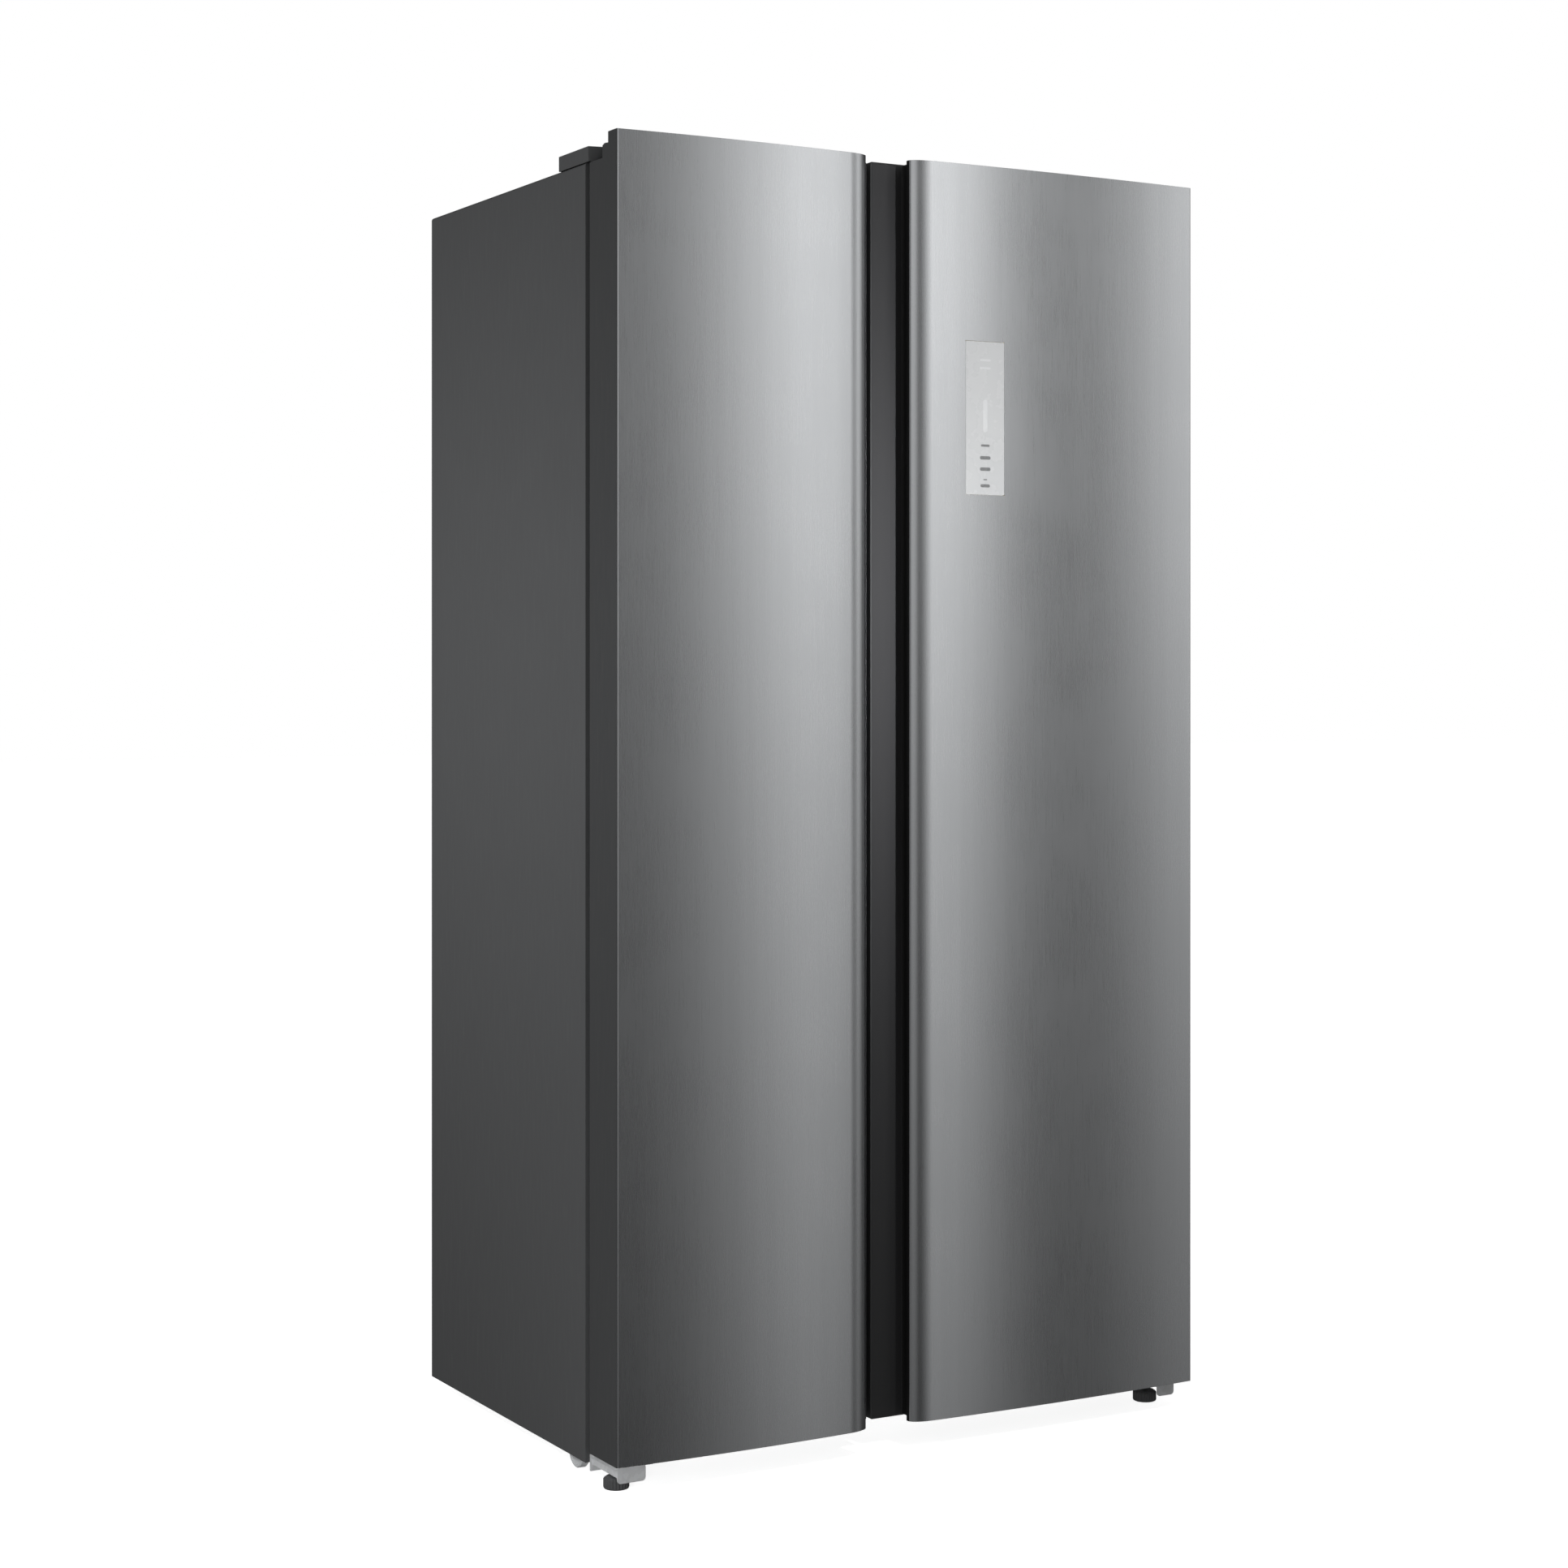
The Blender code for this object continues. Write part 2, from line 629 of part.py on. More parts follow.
def make_lamp():
    middle = (FRIDGE.low + FRIDGE.high) / 2
    outline = rounded(middle - 0.075, middle + 0.075, -0.075, -0.015, 0.012)
    top = CEILING_Z - GAP
    make("fridge_lamp", "clear_plastic", [prism(outline, "Z", top - 0.010, top)])


# Machine bay

FAN_Y = 0.200
FAN_Z = 0.155
COMPRESSOR = (0.270, 0.205)
GLAND = (0.375, 0.160)


def make_compressor():
    x, y = COMPRESSOR
    base = PLATE_Z + 0.002 + GAP
    profile = [(0, 0.062), (0.045, 0.064), (0.068, 0.078), (0.076, 0.098), (0.078, 0.135), (0.0795, 0.139)]
    profile += [(0.078, 0.143), (0.074, 0.172), (0.062, 0.196), (0.038, 0.212), (0, 0.217)]
    pot = turned(profile, "Z", (x, y), 32)
    bracket = block((x - 0.095, x + 0.095), (y - 0.060, y + 0.060), (0.0595, 0.0635))
    spots = [(x + a, y + b) for a in (-0.082, 0.082) for b in (-0.048, 0.048)]
    grommets = [rod("Z", spot, 0.010, base, 0.0655, 16) for spot in spots]
    terminals = block((x + 0.060, x + 0.100), (y - 0.028, y + 0.028), (0.105, 0.155))
    tube = rod("Z", (x - 0.03, y + 0.03), 0.004, 0.19, 0.235, 12)
    make("compressor", "black_enamel", [pot, bracket, terminals, tube] + grommets)


def coil_points():
    """The condenser's route: level passes one above another in front, then down again behind."""
    low, high = -0.395, -0.135
    passes = 6
    rise = 0.024
    bend = rise / 2
    bottom = 0.092
    points = []
    for layer, y in enumerate((0.155, 0.245)):
        for i in range(passes):
            step = i if layer == 0 else passes - 1 - i
            z = bottom + step * rise
            forward = (i + layer * passes) % 2 == 0
            start, end = (low, high) if forward else (high, low)
            points += [(start, y, z), (end, y, z)]
            if i == passes - 1:
                continue
            sign = 1 if forward else -1
            up = 1 if layer == 0 else -1
            for k in range(1, 5):
                t = math.pi * k / 5
                points.append((end + sign * bend * math.sin(t), y, z + up * bend * (1 - math.cos(t))))
    return points


def make_condenser_coil():
    points = coil_points()
    curve = bpy.data.curves.new("condenser_coil", "CURVE")
    curve.dimensions = "3D"
    spline = curve.splines.new("POLY")
    spline.points.add(len(points) - 1)
    for point, place in zip(spline.points, points):
        point.co = (*place, 1.0)
    curve.bevel_depth = 0.0032
    curve.bevel_resolution = 1
    curve.use_fill_caps = True
    piece = bpy.data.objects.new("condenser_coil", curve)
    bpy.context.scene.collection.objects.link(piece)
    curve.materials.append(material("condenser_coil", "copper"))


def make_evaporation_tray():
    base = PLATE_Z + 0.002 + GAP
    outer = prism(rounded(-0.430, -0.100, 0.120, 0.285, 0.010), "Z", base, 0.074)
    hollow = prism(rounded(-0.428, -0.102, 0.122, 0.283, 0.008), "Z", base + 0.002, 0.09)
    make("evaporation_tray", "dark_plastic", [outer], [hollow])


def make_condenser_fan():
    shapes, cuts = fan_shape("X", (FAN_Y, FAN_Z), -0.032, 0.030, 0.016, 0.066, 0.0034, 5, 30)
    pivot = pivot_at("condenser_fan_axis", (-0.017, FAN_Y, FAN_Z))
    make("condenser_fan", "dark_plastic", shapes, cuts, pivot=pivot)


def make_compressor_cover():
    """A ventilated rear cover, dished outwards, with a flat end for the cord gland."""
    plate = block((-0.445, 0.445), (0.3035, 0.3050), (PLATE_Z + 0.006, BAY_TOP - 0.002))
    dish = block((-0.420, 0.310), (0.3037, REAR_LIMIT), (PLATE_Z + 0.020, BAY_TOP - 0.016))
    hollow = block((-0.4185, 0.3085), (0.290, REAR_LIMIT - 0.0015), (PLATE_Z + 0.0215, BAY_TOP - 0.0175))
    slots = []
    for group in (-0.300, -0.055, 0.190):
        for i in range(9):
            x = group + (i - 4) * 0.020
            height = (PLATE_Z + 0.045, BAY_TOP - 0.045)
            slots.append(block((x - 0.004, x + 0.004), (0.30, REAR_LIMIT + 0.01), height))
    hole = rod("Y", GLAND, 0.0110, 0.29, 0.32)
    make("compressor_cover", "dark_plastic", [plate, dish], [hollow, joined(*slots), hole])


def make_cord_gland():
    profile = [(0.0045, 0.2990), (0.0105, 0.2990), (0.0105, 0.3053), (0.0150, 0.3053), (0.0150, 0.3080)]
    profile += [(0.0095, 0.3090), (0.0080, 0.3160), (0.0045, 0.3160)]
    make("cord_gland", "rubber", [turned(profile, "Y", GLAND, 28)])


# Doors


def front_depth(door, u):
    """How far the bowed front stands from the plane through its two edges."""
    return -DOOR_BOW * (1 - (2 * u / door.grip - 1) ** 2)


def front_path(door, inset):
    """A door's front in plan, from the back of its outer side to the end of its rounded grip."""
    start = SIDE_CORNER
    end = door.grip - GRIP_REACH
    corner = (start, front_depth(door, start) + SIDE_CORNER)
    points = [(inset, SKIN_BACK)]
    points += arc(corner, SIDE_CORNER - inset, 180, 270, 3)
    steps = 16
    for i in range(1, steps):
        u = start + (end - start) * i / steps
        points.append((u, front_depth(door, u) + inset))
    for i in range(11):
        t = math.radians(90 * i / 10)
        u = end + (GRIP_REACH - inset) * math.sin(t)
        points.append((u, front_depth(door, u) + inset + (GRIP_DROP - inset) * (1 - math.cos(t))))
    points += [(door.grip - inset, HEM_DEPTH - inset), (door.grip - HEM_WIDTH, HEM_DEPTH - inset)]
    return points


def content_outline(door):
    """The room inside a door's skin and handle trim, in plan."""
    inset = SKIN + GAP
    inner = door.grip - POCKET - TRIM - GAP
    behind = RECESS_DEPTH + TRIM + GAP
    end = door.width - TRIM - GAP
    points = front_path(door, inset)
    points[0] = (inset, CONTENT_BACK)
    points[-1] = (inner, HEM_DEPTH - inset)
    return points + [(inner, behind), (end, behind), (end, CONTENT_BACK)]


def hinge_pocket(door):
    """The stepped space over the hinge corner of a door, as two cutters."""
    low, high = span(door.side, -0.01, HINGE_POCKET)
    step = block((low, high), (DOOR_FRONT + LIP_DEPTH, DOOR_FRONT + 0.12), (STEP_TOP, DOOR_TOP + 0.01))
    well = block((low, high), (DOOR_FRONT + STEP_DEPTH, DOOR_FRONT + 0.12), (POCKET_TOP, DOOR_TOP + 0.01))
    return [step, well]


def make_skin(door, pivot):
    outline = front_path(door, 0) + front_path(door, SKIN)[::-1]
    shape = prism(plan(door.side, outline), "Z", DOOR_BOTTOM, DOOR_TOP)
    cuts = hinge_pocket(door) + display_window(door, 0.003)
    make(f"{door.name}_skin", "brushed_steel", [shape], cuts, pivot=pivot)


def make_caps(door, pivot):
    outline = plan(door.side, content_outline(door))
    pin = plan(door.side, [(PIN_U, PIN_V)])[0]
    top = prism(outline, "Z", POCKET_TOP - 0.025, DOOR_TOP - 0.0005)
    bore = rod("Z", pin, PIN_BORE, CABINET_TOP - 0.0235, DOOR_TOP)
    make(f"{door.name}_cap_top", "dark_plastic", [top], hinge_pocket(door) + [bore], pivot=pivot)
    bottom = prism(outline, "Z", DOOR_BOTTOM + 0.0005, DOOR_BOTTOM + CAP_HEIGHT)
    bore = rod("Z", pin, PIN_BORE, 0.0, 0.0575)
    make(f"{door.name}_cap_bottom", "dark_plastic", [bottom], [bore], pivot=pivot)


def make_door_foam(door, pivot):
    outline = plan(door.side, content_outline(door))
    core = prism(outline, "Z", DOOR_BOTTOM + CAP_HEIGHT + GAP, POCKET_TOP - 0.025 - GAP)
    make(f"{door.name}_foam", "foam", [core], display_window(door, DISPLAY_BACK + 0.0025), pivot=pivot)


def make_handle_trim(door, pivot):
    w = door.width
    pocket = door.grip - POCKET
    tip = HEM_DEPTH + GAP
    behind = RECESS_DEPTH + TRIM
    outline = [(w, CONTENT_BACK), (w, RECESS_DEPTH + 0.002), (w - 0.002, RECESS_DEPTH)]
    outline += arc((pocket + 0.004, RECESS_DEPTH - 0.004), 0.004, 90, 180, 4)
    outline += [(pocket, tip), (pocket - TRIM, tip), (pocket - TRIM, behind), (w - TRIM, behind)]
    outline += [(w - TRIM, CONTENT_BACK)]
    shape = prism(plan(door.side, outline), "Z", DOOR_BOTTOM + 0.003, DOOR_TOP - 0.003)
    make(f"{door.name}_handle_trim", "dark_plastic", [shape], pivot=pivot)


def face_outline(door, low_u, high_u, low_z, high_z, radius):
    """A rounded rectangle on a door's inner face, as x and z."""
    low, high = span(door.side, low_u, high_u)
    return rounded(low, high, low_z, high_z, radius)


def make_door_liner(door, pivot):
    y = DOOR_FRONT
    face = LINER_FACE
    plate = block(span(door.side, SKIN + CLEARANCE, door.width), (y + face, y + face + LINER_SHEET),
                  (0.0395, DOOR_TOP - 0.003))
    outer = face_outline(door, DIKE_HINGE_SIDE, door.dike_free, DIKE_BOTTOM, DIKE_HIGH, 0.016)
    dike = prism(outer, "Y", y + face + 0.001, y + DIKE_TOP)
    w = DIKE_WIDTH
    inner = face_outline(door, DIKE_HINGE_SIDE + w, door.dike_free - w, DIKE_BOTTOM + w, DIKE_HIGH - w, 0.010)
    pan = prism(inner, "Y", y + face + LINER_SHEET, y + DIKE_TOP + 0.01)
    near = span(door.side, DIKE_HINGE_SIDE + w - 0.002, DIKE_HINGE_SIDE + w + 0.006)
    far = span(door.side, door.dike_free - w - 0.006, door.dike_free - w + 0.002)
    depth = (y + face + 0.001, y + DIKE_TOP - 0.006)
    ledges = [block(wall, depth, (z - 0.008, z - GAP)) for z in door.bins for wall in (near, far)]
    cuts = [pan] + hinge_pocket(door)
    make(f"{door.name}_liner", "white_plastic", [plate, dike], cuts, [joined(*ledges)], pivot=pivot)


def make_gasket(door, pivot):
    y = DOOR_FRONT
    base = LINER_FACE + LINER_SHEET + GAP

    def ring(inset):
        far = door.width - 0.004 - inset
        return face_outline(door, 0.026 + inset, far, 0.080 + inset, 1.6935 - inset, 0.014 - inset / 2)

    foot = prism(ring(0.0), "Y", y + base, y + base + 0.0034)
    bulb = prism(ring(0.0025), "Y", y + base + 0.0028, y + GASKET_BACK)
    through = prism(ring(GASKET_WIDTH), "Y", y, y + 0.2)
    wide = prism(ring(GASKET_WIDTH - 0.0025), "Y", y + base + 0.0034, y + 0.2)
    make(f"{door.name}_gasket", "rubber", [foot, bulb], [through, wide], pivot=pivot)


BIN_HEIGHT = 0.105
BIN_FRONT_HEIGHT = 0.082
BIN_REACH = 0.196
BIN_WALL = 0.0022


def make_bin(door, number, z, pivot):
    """A door bin: a box open at the top, with its room side lower and rounded."""
    low = DIKE_HINGE_SIDE + DIKE_WIDTH + 0.0008
    high = door.dike_free - DIKE_WIDTH - 0.0008
    near = LINER_FACE + LINER_SHEET + 0.0007

    def outline(inset):
        points = [(low + inset, near + inset), (high - inset, near + inset)]
        points += arc((high - 0.020, BIN_REACH - 0.020), 0.020 - inset, 0, 90, 5)
        points += arc((low + 0.020, BIN_REACH - 0.020), 0.020 - inset, 90, 180, 5)
        return plan(door.side, points)

    body = prism(outline(0), "Z", z, z + BIN_HEIGHT)
    hollow = prism(outline(BIN_WALL), "Z", z + BIN_WALL, z + BIN_HEIGHT + 0.02)
    front = block(span(door.side, low - 0.01, high + 0.01), (DOOR_FRONT + 0.150, DOOR_FRONT + 0.25),
                  (z + BIN_FRONT_HEIGHT, z + BIN_HEIGHT + 0.02))
    make(f"{door.name}_bin_{number}", "clear_plastic", [body], [hollow, front], pivot=pivot)


DISPLAY_U = (0.325, 0.387)
DISPLAY_Z = (DOOR_BOTTOM + 1.259, DOOR_BOTTOM + 1.469)
DISPLAY_BACK = 0.010


def display_window(door, depth):
    """A cutter for the display, to a depth behind the front, for the door that has one."""
    if door.side < 0:
        return []
    low, high = DISPLAY_U
    return [block(span(1, low - GAP, high + GAP), (DOOR_FRONT - 0.02, DOOR_FRONT + depth),
                  (DISPLAY_Z[0] - GAP, DISPLAY_Z[1] + GAP))]


def make_display(door, pivot):
    low, high = DISPLAY_U
    steps = 6
    points = []
    for i in range(steps + 1):
        u = low + (high - low) * i / steps
        points.append((u, front_depth(door, u) - 0.0002))
    points += [(high, DISPLAY_BACK), (low, DISPLAY_BACK)]
    shape = prism(plan(door.side, points), "Z", *DISPLAY_Z)
    make("display_panel", "display_glass", [shape], pivot=pivot)


def make_door(door):
    x, y = plan(door.side, [(PIN_U, PIN_V)])[0]
    pivot = pivot_at(f"{door.name}_hinge", (x, y, DOOR_BOTTOM))
    make_skin(door, pivot)
    make_caps(door, pivot)
    make_door_foam(door, pivot)
    make_handle_trim(door, pivot)
    make_door_liner(door, pivot)
    make_gasket(door, pivot)
    for number, z in enumerate(door.bins, 1):
        make_bin(door, number, z, pivot)
    return pivot


def make_cabinet():
    make_cabinet_wrap()
    make_base_pan()
    make_compressor_base()
    make_rear_panel()
    make_cabinet_foam()
    make_liner(FREEZER, -HALF + 0.010, SPLIT_X - 0.002)
    make_liner(FRIDGE, SPLIT_X + 0.002, HALF - 0.010)
    make_mullion_rail()
    for side in (-1, 1):
        make_top_hinge(side)
        make_hinge_cover(side)
        make_bottom_hinge(side)
        make_levelling_foot(side)
    make_rollers()


def make_interior():
    for room in (FREEZER, FRIDGE):
        for number, level in enumerate(room.shelves, 1):
            make_shelf(room, number, level)
        for place in DRAWERS:
            make_drawer(room, place)
    make_duct_panel(FREEZER, (0.66, 0.98, 1.33))
    make_duct_panel(FRIDGE, (0.66, 0.94, 1.24, 1.53))
    make_evaporator()
    make_evaporator_fan()
    make_lamp()


def make_machine_bay():
    make_compressor()
    make_condenser_coil()
    make_evaporation_tray()
    make_condenser_fan()
    make_compressor_cover()
    make_cord_gland()


def main():
    clear_scene()
    make_cabinet()
    make_interior()
    make_machine_bay()
    make_door(FREEZER_DOOR)
    pivot = make_door(FRIDGE_DOOR)
    make_display(FRIDGE_DOOR, pivot)


main()
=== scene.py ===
"""Side by side refrigerator: finished surfaces and fine parts around the fixed frame.

Metres, +Z up, doors facing -Y. Places on a door are given as u, the distance in from its hinge side,
and v, the distance behind the plane through its two front edges.
"""

import json
import math

import bmesh
import bpy
from bpy.props import FloatProperty, FloatVectorProperty, PointerProperty
from bpy.types import Operator, Panel, PropertyGroup
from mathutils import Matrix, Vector

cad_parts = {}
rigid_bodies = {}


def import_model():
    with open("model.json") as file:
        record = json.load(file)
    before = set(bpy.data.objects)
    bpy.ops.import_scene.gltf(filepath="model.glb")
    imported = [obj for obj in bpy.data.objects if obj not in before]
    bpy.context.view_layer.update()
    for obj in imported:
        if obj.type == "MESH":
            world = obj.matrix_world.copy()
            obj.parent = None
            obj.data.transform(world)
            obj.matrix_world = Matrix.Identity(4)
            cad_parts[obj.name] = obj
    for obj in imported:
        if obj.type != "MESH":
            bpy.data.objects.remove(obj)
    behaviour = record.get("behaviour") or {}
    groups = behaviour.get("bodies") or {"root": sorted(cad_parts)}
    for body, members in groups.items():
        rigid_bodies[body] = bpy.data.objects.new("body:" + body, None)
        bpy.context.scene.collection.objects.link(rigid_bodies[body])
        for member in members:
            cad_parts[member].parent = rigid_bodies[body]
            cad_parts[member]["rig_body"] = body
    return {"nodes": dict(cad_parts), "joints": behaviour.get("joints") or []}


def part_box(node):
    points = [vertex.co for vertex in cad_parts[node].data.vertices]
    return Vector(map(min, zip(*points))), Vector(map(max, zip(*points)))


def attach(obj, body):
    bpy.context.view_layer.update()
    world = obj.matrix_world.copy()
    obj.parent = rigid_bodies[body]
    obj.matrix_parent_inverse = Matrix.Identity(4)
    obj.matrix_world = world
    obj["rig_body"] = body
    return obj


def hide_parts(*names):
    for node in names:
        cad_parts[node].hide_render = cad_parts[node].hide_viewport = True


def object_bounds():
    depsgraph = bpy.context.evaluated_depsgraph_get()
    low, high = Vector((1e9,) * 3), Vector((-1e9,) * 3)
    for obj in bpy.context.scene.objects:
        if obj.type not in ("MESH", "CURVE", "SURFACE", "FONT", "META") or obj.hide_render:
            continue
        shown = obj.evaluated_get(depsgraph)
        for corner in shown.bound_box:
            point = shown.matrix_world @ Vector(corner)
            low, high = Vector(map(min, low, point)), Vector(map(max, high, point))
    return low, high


bl_info = {
    "name": "Side by Side Refrigerator",
    "version": (1, 0, 0),
    "blender": (4, 5, 0),
    "location": "View3D > Sidebar > Refrigerator",
    "description": "Finished surfaces and fine parts of a side by side refrigerator",
    "category": "Object",
}

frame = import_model()
CAD_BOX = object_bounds()
GAP = 0.0003
SHARP = math.radians(35)


# Settings


def length(name, default, description):
    return FloatProperty(name=name, description=description, default=default, unit="LENGTH", precision=4)


def share(name, default, description):
    return FloatProperty(name=name, description=description, default=default, min=0.0, subtype="FACTOR")


def colour(name, default, description):
    return FloatVectorProperty(name=name, description=description, default=default, subtype="COLOR",
                               min=0.0, max=1.0)


def power(name, default, description):
    return FloatProperty(name=name, description=description, default=default, min=0.0, unit="POWER")


class DoorSizes(PropertyGroup):
    bow: length("Bow", 0.006, "How far the middle of a door's front stands out from its edges")
    sheet: length("Sheet", 0.001, "Thickness of the steel skin")
    corner: length("Side corner", 0.003, "Radius where the front turns into the hinge side")
    grip_reach: length("Grip reach", 0.032, "Width over which the front rolls back to its grip")
    grip_drop: length("Grip drop", 0.013, "How far back the rolled edge ends")
    hem_depth: length("Hem depth", 0.0165, "How far back the grip's hem lies")
    hem_width: length("Hem width", 0.012, "Width of the hem turned in behind the grip")
    skin_back: length("Skin depth", 0.0800, "Depth of the hinge side of the skin")
    lip: length("Top lip", 0.0254, "Depth of the door's top in front of the hinge cover")
    step: length("Top step", 0.042, "Depth at which the hinge pocket goes down to its floor")
    step_fall: length("Step fall", 0.015, "How far the step lies below the door's top")
    pocket_fall: length("Pocket fall", 0.0315, "How far the pocket's floor lies below the door's top")
    pocket_reach: length("Pocket reach", 0.100, "Width of the hinge pocket")
    fold: length("Fold", 0.0003, "Radius of the folded edges of the steel skin")


class RoomSizes(PropertyGroup):
    corner: length("Corner radius", 0.010, "Radius of the corners inside a compartment")
    sheet: length("Sheet", 0.0018, "Thickness of the formed liner")
    floor: length("Floor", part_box("fridge_drawer_lower")[0].z - 0.006, "Height of the compartments' floor")
    ceiling: length("Ceiling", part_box("fridge_lamp")[1].z + GAP, "Height of the compartments' ceiling")
    back: length("Back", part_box("fridge_duct_panel")[1].y + GAP, "Depth of the compartments' back wall")
    step_front: length("Step front", 0.0535, "Front of the step over the machine bay")
    step_top: length("Step top", 0.317, "Top of the step over the machine bay")
    ledge: length("Ledge", 0.008, "Width of the ledges that shelves and drawers rest on")


class Colours(PropertyGroup):
    steel: colour("Door steel", (0.46, 0.47, 0.48), "The dark brushed steel of the doors")
    paint: colour("Cabinet paint", (0.056, 0.0575, 0.059), "The grey paint of the cabinet")
    side: colour("Door side", (0.032, 0.033, 0.034), "The painted hinge sides of the doors")
    # Painted shade: near black stands in for the shade under the steel's hem in the handle channel.
    channel: colour("Channel side", (0.002, 0.002, 0.002), "The side walls of the handle channel")
    strip: colour("Handle channel", (0.021, 0.021, 0.022), "The floor of the handle channel")
    plating: colour("Plated steel", (0.64, 0.65, 0.66), "Zinc plating of brackets and pans")
    dark: colour("Dark plastic", (0.060, 0.061, 0.063), "Handle trims, caps, covers and feet")
    white: colour("White plastic", (0.60, 0.61, 0.61), "Liners, ducts and shelf trims")
    grey: colour("Grey plastic", (0.50, 0.51, 0.52), "The freezer's fan and the drawer rails")
    clear: colour("Clear plastic", (0.72, 0.80, 0.84), "Drawers, bins and the lamp's lens")
    glass: colour("Shelf glass", (0.62, 0.78, 0.74), "Tempered shelves")
    display: colour("Display", (0.063, 0.064, 0.065), "The control panel's face")
    marks: colour("Marks", (0.024, 0.0245, 0.025), "The small marks on the control panel")
    # Painted light: the control panel is no lamp, and this glow stands in for the light falling on its pale
    # face.
    display_glow: share("Display glow", 0.37, "Light given off by the control panel")
    rubber: colour("Rubber", (0.040, 0.040, 0.042), "Door seals and the cord gland")
    foam: colour("Foam", (0.78, 0.68, 0.42), "Insulation")
    enamel: colour("Enamel", (0.018, 0.018, 0.020), "The compressor's shell")
    aluminium: colour("Aluminium", (0.74, 0.75, 0.76), "The evaporator's fins")
    copper: colour("Copper", (0.62, 0.30, 0.17), "Refrigerant tube")


class StudioSettings(PropertyGroup):
    room_light: share("Room light", 0.22, "Strength of the light that comes from all round")
    key_light: power("Key light", 15.0, "Power of the soft light beside the cabinet")
    fill_light: power("Fill light", 14.0, "Power of the light beside the camera")
    channel_light: power("Channel light", 12.0, "Power of the small light in front of the handle channel")
    low_light: power("Low light", 2.8, "Power of the small light on the left foot")
    card_light: share("Card", 1.0, "Brightness of the card that the steel reflects")
    floor: colour("Floor", (0.90, 0.90, 0.90), "The pale floor")
    floor_glow: share("Floor glow", 0.86, "Light added so that the floor stays pale")


class RefrigeratorSettings(PropertyGroup):
    door: PointerProperty(type=DoorSizes)
    room: PointerProperty(type=RoomSizes)
    colours: PointerProperty(type=Colours)
    studio: PointerProperty(type=StudioSettings)


def settings():
    return bpy.context.scene.refrigerator


# Shaders


class Value:
    """A number from a socket. Arithmetic on it adds Math nodes."""

    def __init__(self, finish, socket):
        self.finish = finish
        self.socket = socket

    def math(self, operation, *values):
        return self.finish.add("ShaderNodeMath", {"operation": operation}, dict(enumerate(values)))

    def __add__(self, other):
        return self.math("ADD", self, other)

    def __sub__(self, other):
        return self.math("SUBTRACT", self, other)

    def __rsub__(self, other):
        return self.math("SUBTRACT", other, self)

    def __mul__(self, other):
        return self.math("MULTIPLY", self, other)

    def __pow__(self, other):
        return self.math("POWER", self, other)

    __radd__ = __add__
    __rmul__ = __mul__


class Finish:
    """A material on a Principled shader, and the nodes that feed it."""

    def __init__(self, name):
        self.material = bpy.data.materials.new(name)
        self.material.use_nodes = True
        self.tree = self.material.node_tree
        self.shader = self.tree.nodes["Principled BSDF"]

    def feed(self, socket, value):
        if isinstance(value, Value):
            self.tree.links.new(value.socket, socket)
        else:
            socket.default_value = value

    def add(self, kind, given=None, inputs=None, output=0):
        """A node of a kind, with its settings, its sockets' values or links, and one of its outputs."""
        node = self.tree.nodes.new(kind)
        for name, value in (given or {}).items():
            if name == "stops":
                self.fill_ramp(node.color_ramp, value)
            else:
                setattr(node, name, value)
        for name, value in (inputs or {}).items():
            self.feed(node.inputs[name], value)
        return Value(self, node.outputs[output])

    def fill_ramp(self, ramp, stops):
        for place, tone in stops:
            element = ramp.elements.new(place)
            element.color = (tone, tone, tone, 1.0)
        for spare in (ramp.elements[-1], ramp.elements[0]):
            ramp.elements.remove(spare)

    def set(self, **values):
        for name, value in values.items():
            self.feed(self.shader.inputs[name.replace("_", " ")], value)
        return self.material

    def place(self, stretch=(1, 1, 1)):
        """Places on the object, stretched along each axis."""
        spot = self.add("ShaderNodeTexCoord", output="Object")
        return self.add("ShaderNodeMapping", inputs={"Vector": spot, "Scale": stretch})

    def along(self, axis):
        """Distance along one of the object's axes, in metres."""
        return self.add("ShaderNodeSeparateXYZ", inputs={"Vector": self.place()}, output=axis)

    def noise(self, size, stretch=(1, 1, 1), detail=2.0):
        """Cloudy noise from 0 to 1, with grains of a size in metres."""
        inputs = {"Vector": self.place(stretch), "Scale": 1.0 / size, "Detail": detail}
        return self.add("ShaderNodeTexNoise", inputs=inputs)

    def cells(self, size, feature="F1", output="Distance"):
        inputs = {"Vector": self.place(), "Scale": 1.0 / size}
        return self.add("ShaderNodeTexVoronoi", {"feature": feature}, inputs, output)

    def mix(self, factor, first, second):
        """A colour between two colours."""
        inputs = {0: factor, 6: (*first, 1.0) if isinstance(first, tuple) else first,
                  7: (*second, 1.0) if isinstance(second, tuple) else second}
        return self.add("ShaderNodeMix", {"data_type": "RGBA"}, inputs, 2)

    def shaded(self, base, amount, pattern):
        """A colour that gets darker and lighter by a share, following a pattern from 0 to 1."""
        darker = tuple(part * (1 - amount) for part in base)
        lighter = tuple(min(1.0, part * (1 + amount)) for part in base)
        return self.mix(pattern, darker, lighter)

    def bump(self, height, depth, strength=1.0):
        inputs = {"Height": height, "Distance": depth, "Strength": strength}
        return self.add("ShaderNodeBump", inputs=inputs, output="Normal")


def brushed(name, base, stretch, roughness):
    """Metal with hairlines along its long direction and soft, wider bands."""
    made = Finish(name)
    hairs = made.noise(0.0007, stretch, 3.0)
    bands = made.noise(0.014, stretch, 2.0)
    worn = made.noise(0.12, detail=3.0)
    tone = hairs * 0.45 + bands * 0.35 + worn * 0.20
    return made.set(
        Base_Color=made.shaded(base, 0.10, tone),
        Metallic=1.0,
        Roughness=roughness + hairs * 0.07 + worn * 0.05,
        Normal=made.bump(hairs, 0.00004, 0.35),
    )


